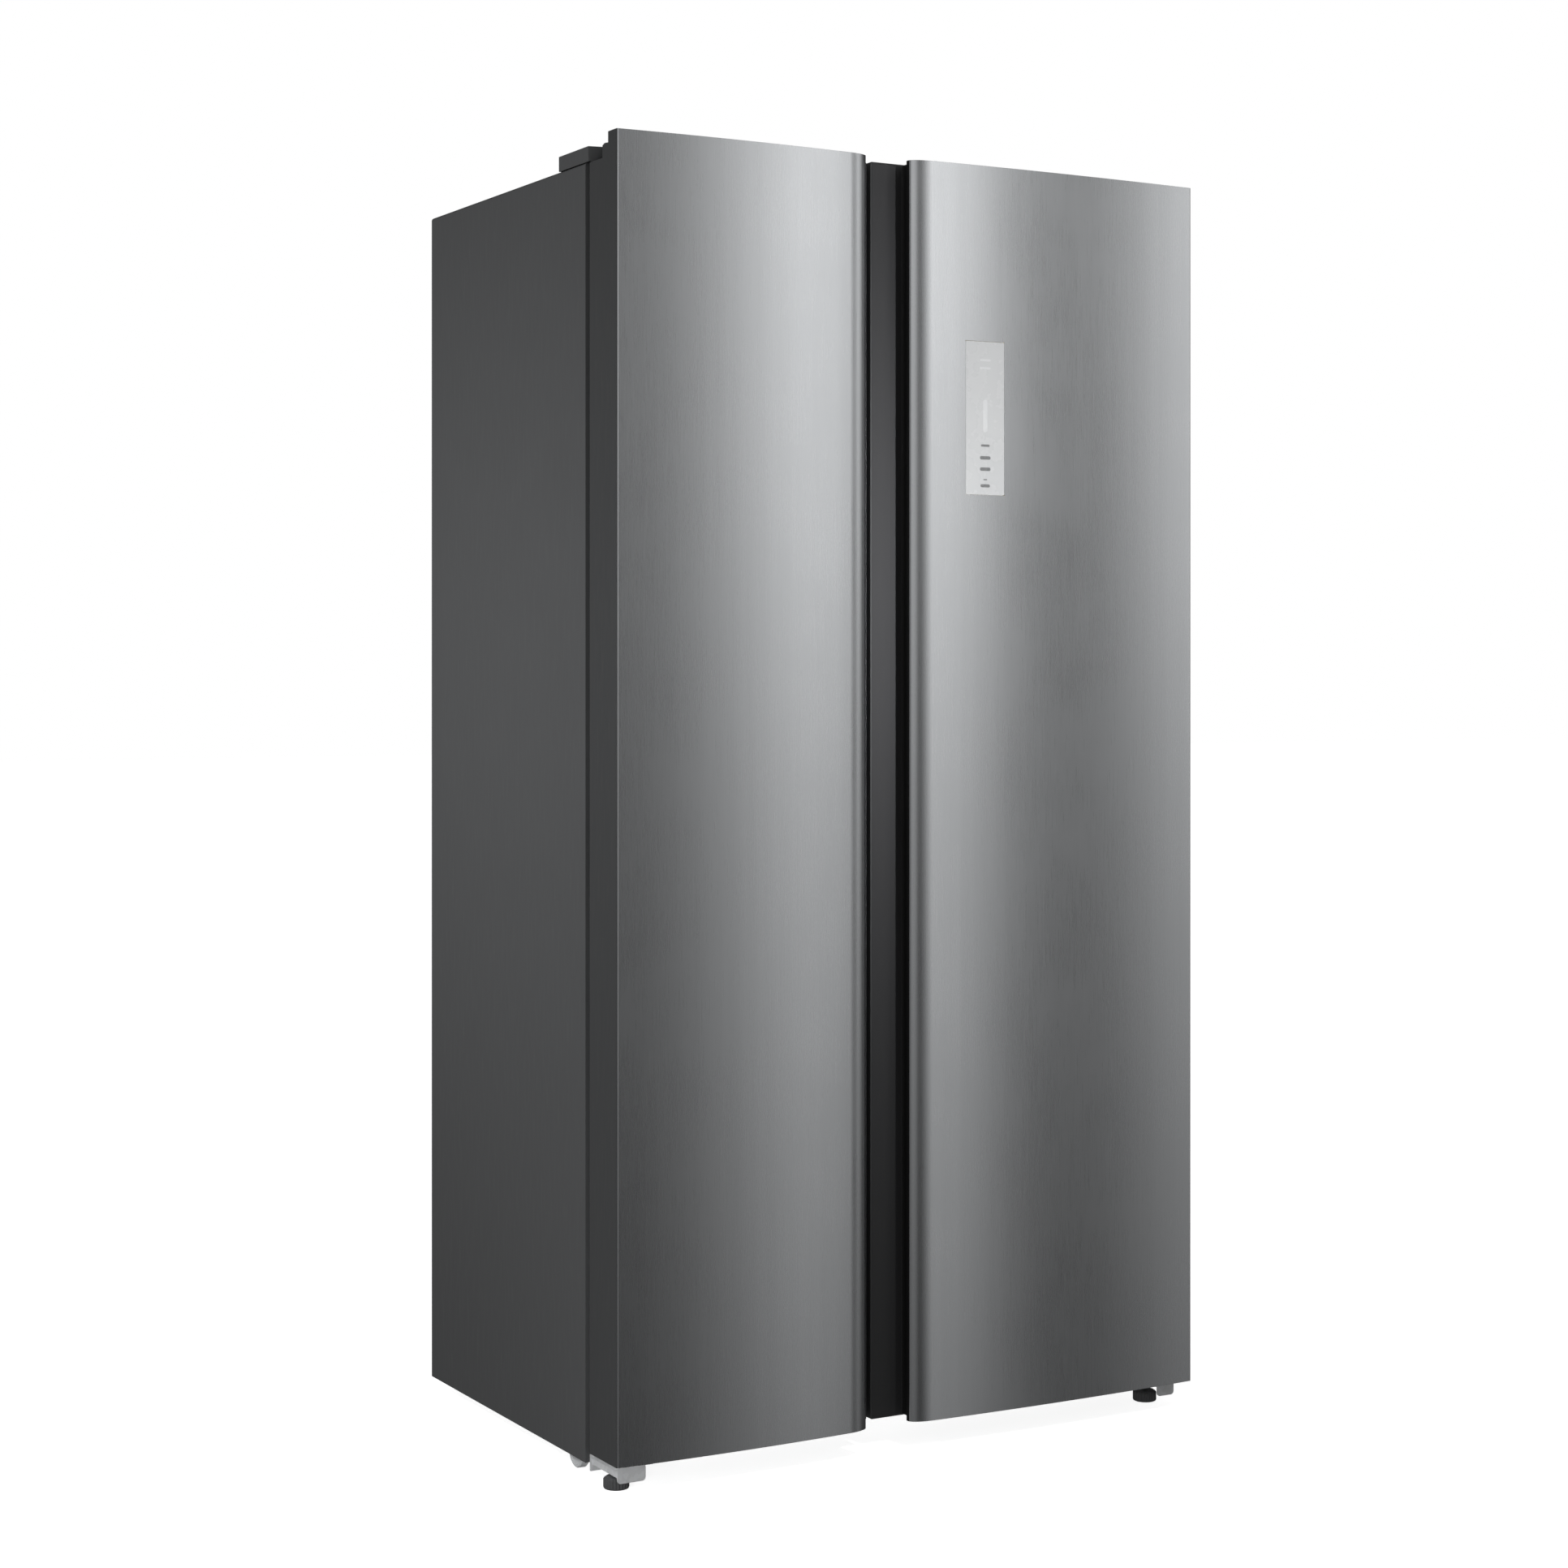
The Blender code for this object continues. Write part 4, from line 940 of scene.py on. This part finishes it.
class REFRIGERATOR_OT_base(Operator):
    """Base pan, machine bay plate, brackets, rollers and levelling feet"""

    bl_idname = "refrigerator.base"
    bl_label = "Base and feet"

    def execute(self, context):
        softened("base_pan", 0.0003)
        softened("compressor_base", 0.0004)
        for side in ("left", "right"):
            softened(f"bottom_hinge_{side}", 0.0008)
            self.bracket_bolts(side)
            self.foot(side)
            for place in ("front", "rear"):
                self.roller(f"{place}_roller_{side}")
        return {"FINISHED"}

    def bracket_bolts(self, side):
        low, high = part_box(f"bottom_hinge_{side}")
        inner, outward = (high.x, -1) if side == "left" else (low.x, 1)
        top = 0.0325
        profile = [(0.0042, top), (0.0045, top + 0.0004), (0.0045, top + 0.0020), (0.0040, top + 0.0024)]
        spots = [(inner + outward * 0.010, high.y - 0.024), (inner + outward * 0.028, high.y - 0.012)]
        heads = [turned(profile, "Z", spot, 6) for spot in spots]
        add(f"bottom_bolts_{side}", joined(heads), "cabinet", "plated_steel")

    def foot(self, side):
        """A ribbed foot on a threaded stud."""
        node = f"levelling_foot_{side}"
        low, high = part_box(node)
        centre = ((low.x + high.x) / 2, (low.y + high.y) / 2)
        radius = (high.x - low.x) / 2
        sides = 144
        base = turned([(radius - 0.0022, 0.0), (radius - 0.0008, 0.0006), (radius - 0.0004, 0.0018)], "Z",
                      centre, sides)
        ribs = [(radius - 0.0008, 0.0012), (radius, 0.0020), (radius, 0.0122), (radius - 0.0014, 0.0140)]
        grip = turned(ribs, "Z", centre, sides, 24, 0.0012)
        top = [(radius - 0.0020, 0.0135), (radius - 0.0034, 0.0152), (0.0060, 0.0166), (0.0046, 0.0172)]
        crown = turned(top, "Z", centre, sides)
        thread = []
        pitch = 0.00125
        level = 0.0165
        while level < high.z - 0.0012:
            thread += [(0.0040, level), (0.0045, level + pitch / 2)]
            level += pitch
        thread += [(0.0038, high.z - 0.0006), (0.0030, high.z)]
        stud = turned(thread, "Z", centre, 32)
        add(f"{node}_ribbed", base, node, "dark_plastic", additions=[grip, crown, stud], stands_for=[node])

    def roller(self, node):
        low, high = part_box(node)
        centre = ((low.y + high.y) / 2, (low.z + high.z) / 2)
        radius = (high.z - low.z) / 2
        width = high.x - low.x
        profile = [(0.0060, low.x + 0.0005), (0.0060, low.x), (0.0075, low.x), (0.0085, low.x + 0.0015)]
        profile += [(radius - 0.0045, low.x + 0.0015), (radius - 0.0035, low.x), (radius - 0.0012, low.x)]
        profile += [(radius, low.x + 0.0012), (radius, high.x - 0.0012)]
        mirror = [(reach, low.x + high.x - x) for reach, x in profile[::-1][1:]]
        body = turned(profile + mirror, "X", centre, 72)
        bore = rod("X", centre, 0.0043, low.x - 0.01, low.x + width + 0.01)
        add(f"{node}_wheel", body, body_of(node), slot_of(node), cuts=[bore], stands_for=[node])


class REFRIGERATOR_OT_hinges(Operator):
    """Top hinge plates under their rounded covers"""

    bl_idname = "refrigerator.hinges"
    bl_label = "Hinges and covers"

    def execute(self, context):
        for side in ("left", "right"):
            softened(f"top_hinge_{side}", 0.0005)
            softened(f"hinge_cover_{side}", 0.0008, 3, even=True)
            low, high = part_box(f"hinge_cover_{side}")
            middle = (low.x + high.x) / 2
            spots = [(middle, high.y - 0.020, high.z)]
            screws(f"hinge_cover_screw_{side}", "Z", spots, 0.0042, 0.0018, 1, "cabinet")
        return {"FINISHED"}


# Compartments


class Room:
    """A compartment's sizes, read from its CAD pieces."""

    def __init__(self, name):
        low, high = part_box(f"{name}_drawer_upper")
        self.name = name
        self.low = low.x - 0.002
        self.high = high.x + 0.002
        self.sizes = settings().room
        self.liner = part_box(f"{name}_liner")
        self.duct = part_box(f"{name}_duct_panel")

    def profile(self, inset, front):
        sizes = self.sizes
        low = sizes.floor - inset
        step = sizes.step_top - inset
        high = sizes.ceiling + inset
        back = sizes.back + inset
        wall = sizes.step_front + inset
        return [(front, low), (wall, low), (wall, step), (back, step), (back, high), (front, high)]

    def levels(self):
        """The heights that shelves and drawers rest at."""
        found = [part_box(name)[0].z + 0.004 for name in self.shelves()]
        return found + [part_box(f"{self.name}_drawer_{place}")[1].z - 0.0083 for place in ("lower", "upper")]

    def shelves(self):
        return sorted(name for name in frame["nodes"] if name.startswith(f"{self.name}_shelf"))


def rooms():
    return [Room("freezer"), Room("fridge")]


class REFRIGERATOR_OT_liners(Operator):
    """Formed compartments with round corners and ledges"""

    bl_idname = "refrigerator.liners"
    bl_label = "Compartment liners"

    def execute(self, context):
        for room in rooms():
            sizes = room.sizes
            low, high = room.liner
            shell = prism(room.profile(sizes.sheet, low.y + GAP), "X", room.low - sizes.sheet,
                          room.high + sizes.sheet)
            flange = block((low.x, high.x), (low.y, low.y + 0.0011), (low.z, high.z))
            piece = add(f"{room.name}_liner_shell", shell, "cabinet", "white_plastic",
                        stands_for=[f"{room.name}_liner"])
            cut(piece, "UNION", [flange])
            cut(piece, "DIFFERENCE", [self.hollow(room, low.y - 0.02)])
            cut(piece, "UNION", [self.ledges(room)])
            settle(piece)
            smooth(piece)
        return {"FINISHED"}

    def hollow(self, room, mouth):
        """The space inside, with every edge rounded but those at its mouth."""
        builder = bmesh.new()
        builder.from_mesh(prism(room.profile(0, mouth), "X", room.low, room.high))
        edges = [edge for edge in builder.edges if max(corner.co.y for corner in edge.verts) > mouth + 0.001]
        bmesh.ops.bevel(builder, geom=edges, offset=room.sizes.corner, segments=5, affect="EDGES",
                        profile=0.5)
        return mesh_from(builder)

    def ledges(self, room):
        back = room.duct[0].y - 0.012
        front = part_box(f"{room.name}_drawer_upper")[0].y + 0.024
        wide = room.sizes.ledge
        found = []
        for level in room.levels():
            for low, high in ((room.low - 0.001, room.low + wide), (room.high - wide, room.high + 0.001)):
                bar = block((low, high), (front, back), (level - 0.006, level))
                found.append(bevelled(bar, 0.0015, 3, lambda spot, level=level: spot.z < level - 0.001))
        return joined(found)


class REFRIGERATOR_OT_shelves(Operator):
    """Tempered glass shelves in moulded trims"""

    bl_idname = "refrigerator.shelves"
    bl_label = "Shelves"

    def execute(self, context):
        for room in rooms():
            for node in room.shelves():
                self.shelf(node)
        return {"FINISHED"}

    def shelf(self, node):
        low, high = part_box(node)
        level = low.z + 0.004
        front, rear = low.y, high.y
        left, right = low.x + 0.001, high.x - 0.001
        glass = block((left + 0.001, right - 0.001), (front + 0.006, rear - 0.004),
                      (level + 0.0008, level + 0.0045))
        add(f"{node}_glass", glass, "cabinet", "shelf_glass", 0.0006, stands_for=[node])
        outline = [(0, -0.0028), (0.0012, -0.0040), (0.0108, -0.0040), (0.0120, -0.0030), (0.0120, 0.0002)]
        outline += [(0.0062, 0.0006), (0.0062, 0.0047), (0.0110, 0.0049), (0.0116, 0.0056)]
        outline += [(0.0090, 0.0078), (0.0050, 0.0090), (0.0018, 0.0084), (0, 0.0064)]
        trim = prism([(front + v, level + z) for v, z in outline], "X", left, right)
        add(f"{node}_front_trim", trim, "cabinet", "white_plastic", 0.0003)
        outline = [(0.012, 0.0003), (0, 0.0003), (0, 0.0085), (0.0020, 0.0090), (0.0036, 0.0055)]
        outline += [(0.012, 0.0050), (0.012, 0.0047), (0.0039, 0.0047), (0.0039, 0.0006), (0.012, 0.0006)]
        trim = prism([(rear - v, level + z) for v, z in outline], "X", left, right)
        add(f"{node}_rear_trim", trim, "cabinet", "white_plastic", 0.0002)


class REFRIGERATOR_OT_drawers(Operator):
    """Clear drawers with a grey rail along the top of the face"""

    bl_idname = "refrigerator.drawers"
    bl_label = "Drawers"

    def execute(self, context):
        for room in rooms():
            for place in ("lower", "upper"):
                node = f"{room.name}_drawer_{place}"
                softened(node, 0.0010, 3)
                low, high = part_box(node)
                middle = (low.x + high.x) / 2
                front = low.y
                outer = rounded(low.x + 0.008, high.x - 0.008, high.z - 0.046, high.z - 0.003, 0.006)
                band = prism(outer, "Y", front - 0.0022, front - 0.0001)
                outline = rounded(middle - 0.061, middle + 0.061, high.z - 0.027, high.z + 0.03, 0.009)
                grip = prism(outline, "Y", front - 0.01, front + 0.01)
                add(f"{node}_rail", band, node, "grey_plastic", 0.0006, cuts=[grip])
        return {"FINISHED"}


class REFRIGERATOR_OT_air(Operator):
    """Duct panels, the freezer's fan and the lamp"""

    bl_idname = "refrigerator.air"
    bl_label = "Ducts, fan and lamp"

    def execute(self, context):
        for room in rooms():
            softened(f"{room.name}_duct_panel", 0.0009)
        fan_blades("evaporator_fan", "Y", 0.011, 0.038, 5, 26)
        softened("fridge_lamp", 0.0015, 3)
        low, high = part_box("fridge_lamp")
        ribs = []
        for i in range(9):
            x = low.x + 0.015 + i * (high.x - low.x - 0.030) / 8
            ribs.append(rod("Y", (x, low.z + 0.0002), 0.0012, low.y + 0.010, high.y - 0.010, 12))
        add("fridge_lamp_flutes", joined(ribs), "cabinet", "clear_plastic")
        return {"FINISHED"}


def fan_blades(node, axis, hub, reach, count, pitch):
    """A hub with cambered blades that flatten towards their tips."""
    low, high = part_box(node)
    along = PLANES[axis][2]
    start, end = low[along], high[along]
    shaft = 0.0024 if axis == "Y" else 0.0034
    centre = fan_centre(node, axis)
    middle = (start + end) / 2
    hub_profile = [(hub - 0.001, start), (hub, start + 0.001), (hub, end - 0.003), (hub - 0.003, end)]
    meshes = []
    for i in range(count):
        turn = 2 * math.pi * i / count
        rings = []
        for k in range(9):
            share_out = k / 8
            radius = hub * 0.8 + (reach - hub * 0.8) * share_out
            chord = 0.62 + 0.25 * math.sin(math.pi * share_out)
            tilt = math.radians(pitch * (1.25 - 0.5 * share_out))
            upper, lower = [], []
            for m in range(9):
                t = m / 8 - 0.5
                across = turn + t * chord * (1.15 - 0.35 * share_out)
                lift = math.tan(tilt) * t * chord * radius * 0.75 + 0.04 * reach * (1 - 4 * t * t)
                lift = max(start - middle + 0.0015, min(end - middle - 0.0015, lift))
                thick = 0.0006 * (1 - 1.6 * t * t)
                a = centre[0] + radius * math.cos(across)
                b = centre[1] + radius * math.sin(across)
                upper.append(placed(axis, a, b, middle + lift + thick))
                lower.append(placed(axis, a, b, middle + lift - thick))
            rings.append(upper + lower[::-1])
        meshes.append(skinned(rings))
    bore = rod(axis, centre, shaft, start - 0.01, end + 0.01)
    add(f"{node}_rotor", turned(hub_profile, axis, centre, 48), body_of(node), slot_of(node), cuts=[bore],
        additions=[joined(meshes)], stands_for=[node])


def fan_centre(node, axis):
    """The middle of a fan: its joint's place. A five bladed fan reaches further up than down."""
    first, second = PLANES[axis][:2]
    joint = next(joint for joint in frame["joints"] if joint["child"] == body_of(node))
    origin = joint["pos_m"]
    return origin[first], origin[second]


class REFRIGERATOR_OT_machine(Operator):
    """The compressor, the condenser's fan, the tray, the rear cover and the cord gland"""

    bl_idname = "refrigerator.machine"
    bl_label = "Machine bay"

    def execute(self, context):
        softened("compressor", 0.0008)
        fan_blades("condenser_fan", "X", 0.016, 0.066, 5, 24)
        softened("evaporation_tray", 0.0006)
        softened("compressor_cover", 0.0005)
        softened("cord_gland", 0.0004)
        low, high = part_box("compressor_cover")
        spots = [(x, low.y + 0.0015, z)
                 for x in (low.x + 0.010, high.x - 0.010) for z in (low.z + 0.02, high.z - 0.02)]
        spots.append((high.x - 0.075, low.y + 0.0015, high.z - 0.007))
        screws("compressor_cover_screws", "Y", spots, 0.0045, 0.0024, 1, "cabinet")
        return {"FINISHED"}


# Studio


class REFRIGERATOR_OT_studio(Operator):
    """The camera, the pale floor and soft light"""

    bl_idname = "refrigerator.studio"
    bl_label = "Studio"

    def execute(self, context):
        self.camera(context.scene)
        self.world(context.scene)
        self.floor()
        self.card()
        studio = settings().studio
        self.light("key", (-1.50, 0.0, 1.12), (-0.4575, 0.0, 1.12), (1.6, 0.3), studio.key_light)
        self.light("fill", (-2.1, -4.2, 2.2), (0.0, 0.0, 0.9), (1.8, 1.8), studio.fill_light)
        self.light("channel", (0.045, -0.831, 1.18), (0.045, 0.0, 1.18), (0.02, 0.04), studio.channel_light)
        self.light("low", (-0.95, -0.80, 0.10), (-0.42, -0.26, 0.02), (0.1, 0.1), studio.low_light)
        context.scene.view_settings.view_transform = "Standard"
        return {"FINISHED"}

    def camera(self, scene):
        camera = bpy.data.cameras.new("camera")
        camera.lens = 65.14
        camera.sensor_width = 36.0
        camera.shift_y = -0.0709
        placed_camera = bpy.data.objects.new("camera", camera)
        placed_camera.location = (-2.0485, -3.568, 1.051)
        placed_camera.rotation_euler = (math.radians(90), 0, math.radians(-29.41))
        scene.collection.objects.link(placed_camera)
        scene.camera = placed_camera

    def world(self, scene):
        world = bpy.data.worlds.new("studio")
        world.use_nodes = True
        scene.world = world
        tree = world.node_tree
        background = tree.nodes["Background"]
        light = settings().studio.room_light
        path = tree.nodes.new("ShaderNodeLightPath")
        spot = tree.nodes.new("ShaderNodeTexCoord")
        split = tree.nodes.new("ShaderNodeSeparateXYZ")
        ramp = tree.nodes.new("ShaderNodeMapRange")
        ramp.inputs["From Min"].default_value = -0.6
        ramp.inputs["From Max"].default_value = 0.6
        ramp.inputs["To Min"].default_value = light
        ramp.inputs["To Max"].default_value = light * 0.25
        tree.links.new(spot.outputs["Generated"], split.inputs["Vector"])
        tree.links.new(split.outputs["X"], ramp.inputs["Value"])
        mirror = tree.nodes.new("ShaderNodeMix")
        mirror.data_type = "RGBA"
        mirror.inputs[6].default_value = (light, light, light, 1.0)
        tree.links.new(path.outputs["Is Glossy Ray"], mirror.inputs[0])
        tree.links.new(ramp.outputs["Result"], mirror.inputs[7])
        choice = tree.nodes.new("ShaderNodeMix")
        choice.data_type = "RGBA"
        choice.inputs[7].default_value = (1.0, 1.0, 1.0, 1.0)
        tree.links.new(path.outputs["Is Camera Ray"], choice.inputs[0])
        tree.links.new(mirror.outputs[2], choice.inputs[6])
        tree.links.new(choice.outputs[2], background.inputs["Color"])

    def floor(self):
        reach = 30.0
        mesh = prism([(-reach, -reach), (reach, -reach), (reach, reach), (-reach, reach)], "Z", -0.02, 0.0)
        piece = bpy.data.objects.new("floor", mesh)
        bpy.context.scene.collection.objects.link(piece)
        made = Finish("pale_floor")
        studio = settings().studio
        speckle = made.noise(0.004, detail=3.0)
        made.set(
            Base_Color=made.shaded(tuple(studio.floor), 0.02, speckle),
            Roughness=0.8 + speckle * 0.1,
            Emission_Color=(1.0, 1.0, 1.0, 1.0),
            Emission_Strength=studio.floor_glow,
        )
        mesh.materials.append(made.material)
        piece.visible_glossy = False
        piece.visible_diffuse = False

    def card(self):
        """A graded card in front of the doors, which only reflections see."""
        low = Vector((-2.4, -1.0))
        high = Vector((3.6, 3.4))
        depth = CAD_BOX[0].y - 1.0
        mesh = prism([(low.x, depth), (high.x, depth), (high.x, depth - 0.01), (low.x, depth - 0.01)], "Z",
                     low.y, high.y)
        piece = bpy.data.objects.new("reflected_card", mesh)
        bpy.context.scene.collection.objects.link(piece)
        made = Finish("graded_card")
        across = made.along("X") * (1 / (high.x - low.x)) + (-low.x / (high.x - low.x))
        up = made.along("Z") * (1 / (high.y - low.y)) + (-low.y / (high.y - low.y))

        def stops(low_end, high_end, places):
            return [((at - low_end) / (high_end - low_end), tone) for at, tone in places]

        wide = [(-2.3, 0.30), (-1.1, 0.36), (-0.5, 0.34), (-0.25, 0.12), (-0.12, 0.055), (0.0, 0.115),
                (0.2, 0.30), (0.35, 0.53), (0.5, 0.80), (0.58, 1.20), (0.63, 0.62), (0.72, 0.19),
                (0.85, 0.08), (1.0, 0.06), (1.1, 0.11), (1.3, 0.48), (1.45, 0.70), (1.7, 0.50), (2.2, 0.30),
                (3.5, 0.10)]
        tall = [(-0.9, 0.15), (-0.27, 0.25), (0.28, 0.377), (0.82, 0.565), (1.36, 0.85), (1.9, 1.0)]
        ramp_x = made.add("ShaderNodeValToRGB", {"stops": stops(low.x, high.x, wide)}, {"Fac": across})
        ramp_z = made.add("ShaderNodeValToRGB", {"stops": stops(low.y, high.y, tall)}, {"Fac": up})
        glow = ramp_x * ramp_z * (2.4 * settings().studio.card_light)
        made.set(Base_Color=(0.0, 0.0, 0.0, 1.0), Specular_IOR_Level=0.0, Emission_Color=glow,
                 Emission_Strength=1.0)
        mesh.materials.append(made.material)
        piece.visible_camera = False
        piece.visible_diffuse = False
        piece.visible_shadow = False

    def light(self, name, spot, target, size, power):
        lamp = bpy.data.lights.new(name, "AREA")
        lamp.shape = "RECTANGLE"
        lamp.size, lamp.size_y = size
        lamp.energy = power
        piece = bpy.data.objects.new(name, lamp)
        piece.location = spot
        piece.rotation_euler = (Vector(target) - Vector(spot)).to_track_quat("-Z", "Y").to_euler()
        piece.visible_glossy = False
        bpy.context.scene.collection.objects.link(piece)


class REFRIGERATOR_OT_dress(Operator):
    """Gives every piece left from the frame its finish"""

    bl_idname = "refrigerator.dress"
    bl_label = "Frame pieces"

    def execute(self, context):
        for node, piece in frame["nodes"].items():
            if not piece.hide_render:
                piece.data.materials[0] = FINISHED[slot_of(node)]
        return {"FINISHED"}


STEPS = (
    REFRIGERATOR_OT_skins,
    REFRIGERATOR_OT_trims,
    REFRIGERATOR_OT_display,
    REFRIGERATOR_OT_door_liners,
    REFRIGERATOR_OT_bins,
    REFRIGERATOR_OT_shell,
    REFRIGERATOR_OT_base,
    REFRIGERATOR_OT_hinges,
    REFRIGERATOR_OT_liners,
    REFRIGERATOR_OT_shelves,
    REFRIGERATOR_OT_drawers,
    REFRIGERATOR_OT_air,
    REFRIGERATOR_OT_machine,
    REFRIGERATOR_OT_dress,
    REFRIGERATOR_OT_studio,
)


class REFRIGERATOR_PT_panel(Panel):
    bl_label = "Refrigerator"
    bl_space_type = "VIEW_3D"
    bl_region_type = "UI"
    bl_category = "Refrigerator"

    def draw(self, context):
        column = self.layout.column()
        for step in STEPS:
            column.operator(step.bl_idname)
        for group in (settings().door, settings().room, settings().colours, settings().studio):
            box = self.layout.box()
            for name in type(group).__annotations__:
                box.prop(group, name)


CLASSES = (DoorSizes, RoomSizes, Colours, StudioSettings, RefrigeratorSettings, *STEPS, REFRIGERATOR_PT_panel)


def register():
    for kind in CLASSES:
        bpy.utils.register_class(kind)
    bpy.types.Scene.refrigerator = PointerProperty(type=RefrigeratorSettings)


def unregister():
    del bpy.types.Scene.refrigerator
    for kind in reversed(CLASSES):
        bpy.utils.unregister_class(kind)


def main():
    register()
    FINISHED.update(finishes())
    for step in STEPS:
        area, name = step.bl_idname.split(".")
        getattr(getattr(bpy.ops, area), name)()


if __name__ == "__main__":
    main()
